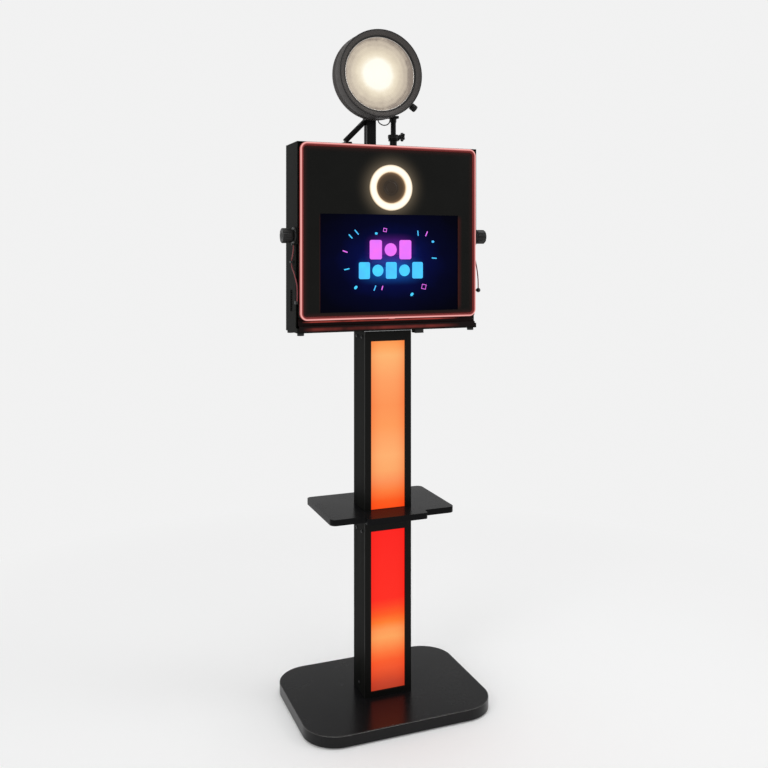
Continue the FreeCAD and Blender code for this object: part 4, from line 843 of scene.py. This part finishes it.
tile_row("screen_row_upper", 3, 0.338, 0.660, 0.363, 0.058, magenta)
tile_row("screen_row_lower", 5, 0.262, 0.745, 0.578, 0.050, cyan)
halos = (
    ("screen_halo_upper", 0.363, 0.088, 0.052, (0.20, 0.02, 0.34)),
    ("screen_halo_lower", 0.578, 0.118, 0.047, (0.01, 0.13, 0.50)),
)
for name, share, reach_x, reach_z, tint in halos:
    halo = Finish(name, Base_Color=(0, 0, 0), Roughness=0.5, Emission_Strength=1.0, Specular_IOR_Level=0.0)
    halo_z = on_screen(0.5, share)[1]
    spread = ((halo.axis("x") / reach_x) ** 4.0 + ((halo.axis("z") - halo_z) / reach_z) ** 4.0) ** 0.25
    weight = (1.0 - spread).capped() ** 1.5 * (0.85 + 0.3 * halo.noise(50))
    halo.set("Emission Color", tint)
    halo.set("Alpha", (weight * 0.9).capped())
    sheet_at(name, -reach_x, reach_x, halo_z - reach_z, halo_z + reach_z, picture_y - 0.0001,
                     halo, "front_unit", (8, 4))

cover_glass = Finish("cover_glass", Base_Color=(0.002, 0.002, 0.003), Specular_IOR_Level=0.1)
cover_glass.set("Roughness", 0.04 + 0.04 * cover_glass.noise(30))
cover_glass.bump(cover_glass.noise(4), 0.0001, 0.1)
dress(cover_glass, "touch_glass")
dress(clip_black, "screen_module")

# ------------------------------------------------------------------ front panel
# Satin black aluminium-composite panel with painted light: a warm glow painted near the camera window
# for the ring, a red glow painted at its outer edge for the rim light, and a red glow beside the screen.
panel = Finish("panel_black", Base_Color=(0.008, 0.008, 0.0075), Specular_IOR_Level=0.085,
               Emission_Strength=1.0)
panel_low, panel_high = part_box("front_panel")
panel_touch = panel.noise(6, 5, 0.6)
panel.set("Roughness", 0.34 + 0.14 * panel_touch + 0.04 * panel.noise(300))
panel.set("Base Color", panel.between((0.0048, 0.0048, 0.0042), (0.0095, 0.0095, 0.0085), panel_touch))
# Painted light: warm glow near the ring, red glow at the outer edge and a red glow beside the screen opening,
# all in the emission.
ring_halo = (1.0 - (away_from(panel, ring_z) - ring_radius) / 0.060).capped() ** 3.0
panel_z = (panel_low.z + panel_high.z) / 2
edge_x = (abs(panel.axis("x")) - (panel_high.x - 0.020)) / 0.020
edge_z = (abs(panel.axis("z") - panel_z) - (panel_high.z - panel_z - 0.020)) / 0.020
edge_glow = edge_x.work("MAXIMUM", edge_x, edge_z).capped() ** 3.0
beside = abs(panel.axis("x")) - screen_half
right_share = (panel.axis("x") * 100.0).capped()
painted_reveal_glow = (beside * 4000.0).capped() * (1.0 - beside / (0.0025 + 0.0115 * right_share)).capped()
painted_reveal_glow = painted_reveal_glow * (0.45 + panel.noise(9)) * ((0.146 - abs(panel.axis("z") - middle_z)) * 60.0).capped()
painted_ring_warmth = panel.between((0.0, 0.0, 0.0), (0.10, 0.078, 0.052), ring_halo)
painted_rim_red = panel.between(painted_ring_warmth, (0.030, 0.004, 0.0035), edge_glow)
panel.set("Emission Color", panel.between(painted_rim_red, (0.040, 0.0022, 0.0015), painted_reveal_glow.capped()))
panel.bump(panel.noise(300, 3), 0.0002, 0.2)
dress(panel, "front_panel")

# ------------------------------------------------------------------ side knobs and their bases
# Moulded thermoset hand knobs with finger flutes on steel studs; each turns in a round plate
# screwed to the case side and clamps the tilting front.
bakelite = grained(
    "bakelite", (0.016, 0.016, 0.016), ((0.006, 0.006, 0.006), (0.018, 0.0175, 0.017), 60, 4, 0.6),
    (0.30, 0.25, 60, 4, 0.6), (0.0002, 0.3, 900, 3), Specular_IOR_Level=0.3)
dress(bakelite, "left_knob", "right_knob", "knob_bases", "door_lock", "lead_plug")
ease(0.0008, "left_knob", "right_knob", "knob_bases", "lead_plug")
knob_low, knob_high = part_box("right_knob")
knob_y = (knob_low.y + knob_high.y) / 2
knob_z = (knob_low.z + knob_high.z) / 2
cap_profile = [(0.0004, 0.0), (0.0004, 0.0062), (0.0011, 0.0068), (0.0011, 0.0086),
               (0.0002, 0.0094), (-0.0006, 0.0150)]
for side, label in ((-1, "left"), (1, "right")):
    cap = turned_mesh(f"knob_cap_{label}", [(side * (knob_high.x + a), r) for a, r in cap_profile],
                      (0, knob_y, knob_z), 48, "x")
    link(f"knob_cap_{label}", cap, bakelite, f"{label}_clamp")


# ------------------------------------------------------------------ leads
# Thin PVC signal leads. The left one leaves the knob base and runs down the case edge, the
# right one hangs to its plug, and a short loop joins the two ends of the cross arm.
pvc = grained(
    "lead_pvc", (0.12, 0.025, 0.03), ((0.20, 0.045, 0.05), (0.32, 0.085, 0.09), 220, 3),
    (0.38, 0.2, 220, 3), (0.0001, 0.3, 800), Specular_IOR_Level=0.3)
black_pvc = grained(
    "lead_black", (0.012, 0.012, 0.012), ((0.008, 0.008, 0.008), (0.02, 0.02, 0.02), 120),
    (0.42, 0.2, 220), (0.0001, 0.3, 800), Specular_IOR_Level=0.3)
lead_thick = 0.0036
routes = {
    "left_lead": [
        (-0.2929, -0.039, 1.391), (-0.2929, -0.039, 1.378), (-0.2929, -0.031, 1.363),
        (-0.2929, -0.020, 1.349), (-0.2929, -0.019, 1.334), (-0.2929, -0.029, 1.322),
        (-0.2929, -0.044, 1.312), (-0.2923, -0.057, 1.297), (-0.2886, -0.061, 1.278),
        (-0.287, -0.060, 1.257), (-0.287, -0.0585, 1.241), (-0.287, -0.0585, 1.229),
    ],
    "right_lead": [
        (0.2929, -0.039, 1.391), (0.2929, -0.039, 1.373), (0.2983, -0.0384, 1.351), (0.305, -0.0386, 1.323),
        (0.309, -0.0389, 1.294), (0.310, -0.039, 1.273), (0.310, -0.039, 1.25805),
    ],
    "lamp_lead": [
        (0.024, 0.101, 1.8003), (0.024, 0.101, 1.7883), (0.032, 0.100, 1.7793), (0.0445, 0.0996, 1.7753),
        (0.0575, 0.100, 1.7788), (0.066, 0.101, 1.7883), (0.066, 0.101, 1.8003),
    ],
}


def lead(name, finish, body):
    """A round lead along its route, standing for its CAD node."""
    curve = bpy.data.curves.new(f"{name}_run", "CURVE")
    curve.dimensions = "3D"
    curve.bevel_depth = lead_thick / 2
    curve.bevel_resolution = 4
    curve.use_fill_caps = True
    line = curve.splines.new("NURBS")
    line.points.add(len(routes[name]) - 1)
    for point, place in zip(line.points, routes[name]):
        point.co = (*place, 1)
    line.order_u = 3
    line.use_endpoint_u = True
    line.resolution_u = 8
    curve.materials.append(finish.material)
    run = bpy.data.objects.new(f"{name}_run", curve)
    bpy.context.scene.collection.objects.link(run)
    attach(run, body)
    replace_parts(run, name)
    return run


left_run = lead("left_lead", pvc, "stand")
right_run = lead("right_lead", pvc, "stand")
lamp_run = lead("lamp_lead", black_pvc, "carriage")
dress(clip_black, "lead_clips")
ease(0.0004, "lead_clips")

# ------------------------------------------------------------------ mast, rod and stay
# Black anodised square mast with a groove in each face, telescopic round rod with a clamp
# and lobed hand screw, and a slanting stay; all bolted to the case back.
anodised = Finish("anodised_black", Base_Color=(0.012, 0.012, 0.012), Metallic=0.25, Roughness=0.35,
                  Specular_IOR_Level=0.1)
drawn = anodised.noise(30, 4, 0.6, (14, 14, 0.6))
anodised.set("Roughness", 0.28 + 0.22 * drawn)
anodised.set("Base Color", anodised.between((0.0045, 0.0045, 0.0045), (0.015, 0.015, 0.0145), drawn))
anodised.bump(drawn, 0.0001, 0.25)
dress(anodised, "mast_outer", "mast_inner", "rod_outer", "rod_inner", "rod_clamp", "stay_tube", "cross_arm",
      "lamp_lug", "mast_brackets")
ease(0.0005, "mast_outer", "rod_clamp")
rod_low, rod_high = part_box("rod_outer")
rod_x, rod_y = (rod_low.x + rod_high.x) / 2, (rod_low.y + rod_high.y) / 2
clamp_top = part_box("rod_clamp")[1].z


def collar(name, centre, low, high, inner, finish, body, groove=0.0007):
    """A turned sleeve with eased ends and two shallow grooves."""
    tall = high - low
    outer = inner + 0.0016
    profile = [(low, inner), (low, outer - 0.0004), (low + 0.0004, outer)]
    for share in (0.3, 0.6):
        z = low + share * tall
        profile += [(z, outer), (z + 0.0004, outer - groove)]
        profile += [(z + 0.0014, outer - groove), (z + 0.0018, outer)]
    profile += [(high - 0.0004, outer), (high, outer - 0.0004), (high, inner)]
    return link(name, turned_mesh(name, profile, centre, 48, "z"), finish, body)


on_rod = (rod_x, rod_y, 0)
collar("rod_clamp_sleeve", on_rod, clamp_top - 0.0115, clamp_top - 0.0015, 0.0160, bakelite, "stand")
collar("rod_top_sleeve", on_rod, 1.7885, 1.7995, 0.0087, bakelite, "carriage")

wing_low, wing_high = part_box("wing_knob")
wing_axis = (0, (wing_low.y + wing_high.y) / 2, (wing_low.z + wing_high.z) / 2)


def lobed_knob(name, along, lobes, deep, centre, direction, finish, body, stands_for, sides=72):
    """A hand knob whose rim swells into lobes; (distance, radius, share of lobe) stations."""
    rings = []
    for distance, radius, share in along:
        ring = []
        for i in range(sides):
            turn = 2 * math.pi * i / sides
            swell = radius * (1 + share * deep * (math.cos(lobes * turn) - 1) / 2)
            ring.append(Vector((swell * math.cos(turn), swell * math.sin(turn), distance)))
        rings.append(ring)
    mesh = lofted(name, rings, True)
    turned = Vector(direction).to_track_quat("Z", "Y").to_matrix().to_4x4()
    mesh.transform(Matrix.Translation(centre) @ turned)
    piece = link(name, mesh, finish, body)
    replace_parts(piece, stands_for)
    return piece


wing_start = wing_low.x
lobed_knob("wing_knob_lobed", [
    (0.0, 0.0029, 0), (0.0078, 0.0029, 0), (0.0080, 0.0070, 0), (0.0125, 0.0072, 0), (0.0145, 0.0120, 1),
    (0.0160, 0.0146, 1), (0.0215, 0.0150, 1), (0.0232, 0.0140, 1), (0.0238, 0.0100, 0.7), (0.0232, 0.0055, 0),
    (0.0234, 0.0040, 0),
], 5, 0.34, (wing_start, wing_axis[1], wing_axis[2]), (1, 0, 0), bakelite, "wing", "wing_knob")

# ------------------------------------------------------------------ lamp barrel
# Spun aluminium barrel in grey-brown hammer enamel, stepped towards a smaller back cap, with
# a rolled front bead, cooling ribs and a knurled focus knob low on its right side.
enamel = Finish("barrel_enamel", Base_Color=(0.07, 0.065, 0.062), Roughness=0.5, Specular_IOR_Level=0.22)
hammered = enamel.noise(420, 4, 0.6)
sooty = enamel.noise(9, 4, 0.6)
enamel.set("Roughness", 0.42 + 0.2 * sooty)
enamel.set("Base Color", enamel.between((0.040, 0.036, 0.034), (0.095, 0.087, 0.082), sooty))
enamel.bump(hammered, 0.0003, 0.3)
dress(enamel, "lamp_housing")
dress(bakelite, "lamp_bezel")
ease(0.0008, "lamp_housing")
barrel_low, barrel_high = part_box("lamp_housing")
lamp_z = (barrel_low.z + barrel_high.z) / 2
lamp_axis = (0, 0, lamp_z)
barrel_radius = (barrel_high.z - barrel_low.z) / 2
barrel_back = 0.079
glass_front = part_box("lamp_lens")[0].y


def hoop_bead(name, radius, y, thick, finish, sides=14, steps=96):
    """A round bead running round the barrel's axis."""
    profile = []
    for i in range(sides):
        turn = 2 * math.pi * i / sides
        profile.append((y + thick * math.sin(turn), radius + thick * math.cos(turn)))
    return link(name, turned_mesh(name, profile, lamp_axis, steps, closed=True), finish, "lamp")


front_black = grained(
    "bead_black", (0.012, 0.011, 0.011), ((0.008, 0.008, 0.008), (0.024, 0.023, 0.022), 90),
    (0.34, 0.2, 200), (0.0001, 0.3, 700), Specular_IOR_Level=0.3)
hoop_bead("barrel_front_bead", barrel_radius - 0.0022, barrel_low.y + 0.0012, 0.0021, front_black)
hood = turned_mesh("barrel_front_hood", [
    (barrel_low.y + 0.0010, 0.1338), (barrel_low.y + 0.0002, 0.1318), (barrel_low.y + 0.0006, 0.1300),
    (barrel_low.y + 0.0040, 0.1240), (barrel_low.y + 0.0072, 0.1192), (barrel_low.y + 0.0084, 0.1184),
], lamp_axis, 96)
link("barrel_front_hood", hood, enamel, "lamp")
# Painted shade: the step at the glass is black to stand in for the shadow gap between the hood and the trim
# ring.
inner_step = turned_mesh("barrel_front_step", [
    (barrel_low.y + 0.0082, 0.1188), (barrel_low.y + 0.0078, 0.1172), (barrel_low.y + 0.0090, 0.1156),
    (glass_front - 0.0052, 0.1146),
], lamp_axis, 96)
link("barrel_front_step", inner_step, front_black, "lamp")
trim_silver = grained(
    "trim_silver", (0.75, 0.72, 0.68), ((0.62, 0.59, 0.55), (0.85, 0.82, 0.78), 60),
    (0.18, 0.25, 160), (0.0001, 0.2, 500), Metallic=1.0)
hoop_bead("lens_trim_ring", 0.1136, glass_front - 0.0058, 0.0013, trim_silver)
for number, place in enumerate((0.052, 0.0585, 0.065, 0.0715)):
    hoop_bead(f"barrel_rib_{number}", barrel_radius - 0.0004, place, 0.0013, enamel, 10)
# Painted shade: flat black ovals laid on the back cap stand in for the shade inside vent slots.
slots = bmesh.new()
for i in range(28):
    turn = 2 * math.pi * i / 28
    middle = Vector((0.106 * math.cos(turn), barrel_back + 0.0001, lamp_z + 0.106 * math.sin(turn)))
    out = Vector((math.cos(turn), 0, math.sin(turn)))
    across = Vector((-math.sin(turn), 0, math.cos(turn)))
    ring = []
    for end in (1, -1):
        for k in range(7):
            swing = math.radians(-90 + 30 * k) if end > 0 else math.radians(90 + 30 * k)
            ring.append(slots.verts.new(middle + out * (end * 0.012 + 0.0025 * math.cos(swing))
                                        + across * 0.0025 * math.sin(swing)))
    slots.faces.new(ring)
slot_mesh = bpy.data.meshes.new("barrel_back_slots")
slots.to_mesh(slot_mesh)
slots.free()
link("barrel_back_slots", slot_mesh, front_black, "lamp")

# ------------------------------------------------------------------ lamp glass and bulb
# Pressed-glass Fresnel lens: a domed middle and concentric steps, blazing in the centre and
# falling to a warm grey at its rim, with the bulb behind it.
lens_glow = Finish("fresnel_glass", Base_Color=(0.06, 0.055, 0.05), Roughness=0.3, Emission_Strength=1.0,
                   Specular_IOR_Level=0.25)
glow_aside = 0.0055
glow_reach = 0.1125 - (lens_glow.axis("x") + glow_aside) * 0.03
to_edge = away_from(lens_glow, lamp_z, glow_aside) / glow_reach
mottled = lens_glow.noise(26, 5, 0.62)
fine = lens_glow.noise(120, 3, 0.6)
ripple = to_edge * 153.6
rings_light = ripple.work("SINE", ripple)
broad_ripple = to_edge * 47.0 + mottled * 3.0
broad_rings = broad_ripple.work("SINE", broad_ripple)
uneven = (mottled - 0.5) * 0.34 + (fine - 0.5) * 0.09
uneven = uneven + broad_rings * 0.028 * (to_edge * 2.2 - 0.9).capped()
uneven = uneven + rings_light * 0.03 * (to_edge * 2.2 - 0.75).capped()
faded_out = (to_edge + uneven * (to_edge * 1.6 - 0.3).capped()).capped()
lens_glow.set("Emission Color", lens_glow.ramp(faded_out, [
    (0.0, (1.0, 0.985, 0.88)), (0.40, (1.0, 0.975, 0.85)), (0.50, (0.86, 0.77, 0.60)),
    (0.60, (0.73, 0.64, 0.49)), (0.78, (0.57, 0.49, 0.385)), (0.92, (0.43, 0.365, 0.29)),
    (1.0, (0.24, 0.195, 0.16)),
]))
lens_glow.set("Roughness", 0.2 + 0.15 * fine)
lens_glow.bump(fine, 0.0003, 0.3)
dome = 0.030
prism = 0.0046
glass_profile = [(-0.0050, 0.0)]
for i in range(1, 9):
    glass_profile.append((-0.0050 + 0.0038 * (i / 8) ** 2, dome * i / 8))
radius = dome
while radius < 0.113:
    glass_profile += [(-0.0040, radius + 0.0003), (-0.0014, radius + 0.0043)]
    radius += prism
glass_profile += [(-0.0010, 0.1195), (0.0, 0.1265)]
lens_mesh = turned_mesh("fresnel_lens", [(glass_front + a, r) for a, r in glass_profile], lamp_axis, 96)
fresnel = link("fresnel_lens", lens_mesh, lens_glow, "lamp")
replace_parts(fresnel, "lamp_lens")
bulb_glass = Finish("bulb_glass", Base_Color=(0.9, 0.88, 0.82), Roughness=0.15, Emission_Strength=2.0)
bulb_glass.set("Emission Color", bulb_glass.between(
    (1.0, 0.86, 0.62), (1.0, 0.95, 0.82), bulb_glass.noise(60)))
bulb_glass.set("Roughness", 0.12 + 0.1 * bulb_glass.noise(90))
dress(bulb_glass, "lamp_bulb")

grip_direction = Vector((math.cos(math.radians(-35)), 0, math.sin(math.radians(-35))))
knurls = 20
focus_knob = lobed_knob("focus_knob_knurled", [
    (-0.006, 0.0039, 0), (0.0112, 0.0039, 0), (0.0113, 0.0085, 0), (0.0125, 0.0092, 0), (0.0135, 0.0107, 1),
    (0.0150, 0.0110, 1), (0.0295, 0.0110, 1), (0.0312, 0.0105, 1), (0.0319, 0.0090, 0), (0.0313, 0.0040, 0),
], knurls, 0.10, Vector((0, 0.060, lamp_z)) + grip_direction * barrel_radius, grip_direction, bakelite,
    "focus_knob", "lamp_knob", 160)

# ------------------------------------------------------------------ service side and inner works
# Hinged steel door with a quarter-turn lock, power inlet with rocker, fan behind its grille,
# and the closed boxes of the computer, supplies and camera inside.
plastic = grained(
    "moulded_black", (0.018, 0.018, 0.018), ((0.012, 0.012, 0.012), (0.026, 0.026, 0.026), 70),
    (0.42, 0.2, 300), (0.0002, 0.3, 1100, 3), Specular_IOR_Level=0.3)
dress(plastic, "power_inlet", "power_switch", "fan_frame", "fan_rotor")
dress(plastic, "camera", "led_driver", "mini_computer")
ease(0.0006, "power_inlet", "power_switch", "fan_frame")
sheet_metal = grained(
    "carrier_sheet", (0.55, 0.56, 0.57), None, (0.3, 0.2, 30, 4, 0.6, (1, 1, 20)), (0.0001, 0.2, 200),
    Metallic=0.9)
dress(sheet_metal, "led_carrier", "mount_plate")
dress(screw_steel, "door_hinge")
lock_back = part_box("door_lock")[1].y
lock_x, lock_z = 0.176, 1.305
chrome = grained(
    "lock_chrome", (0.36, 0.36, 0.37), None, (0.25, 0.2, 300), (0.0001, 0.2, 900), Metallic=1.0)
link("lock_face", turned_mesh("lock_face", [
    (lock_back + 0.0006, 0.0), (lock_back + 0.0006, 0.0052), (lock_back + 0.0001, 0.0060),
    (lock_back + 0.0004, 0.0066), (lock_back + 0.0004, 0.0084), (lock_back - 0.0004, 0.0089),
], (lock_x, 0, lock_z), 48), chrome, "lock")
# Painted shade: a flat black sheet stands in for the shade inside the key slot.
sheet_at("lock_key_slot", lock_x - 0.0008, lock_x + 0.0008, lock_z - 0.0032, lock_z + 0.0032,
         lock_back + 0.0008, front_black, "lock")
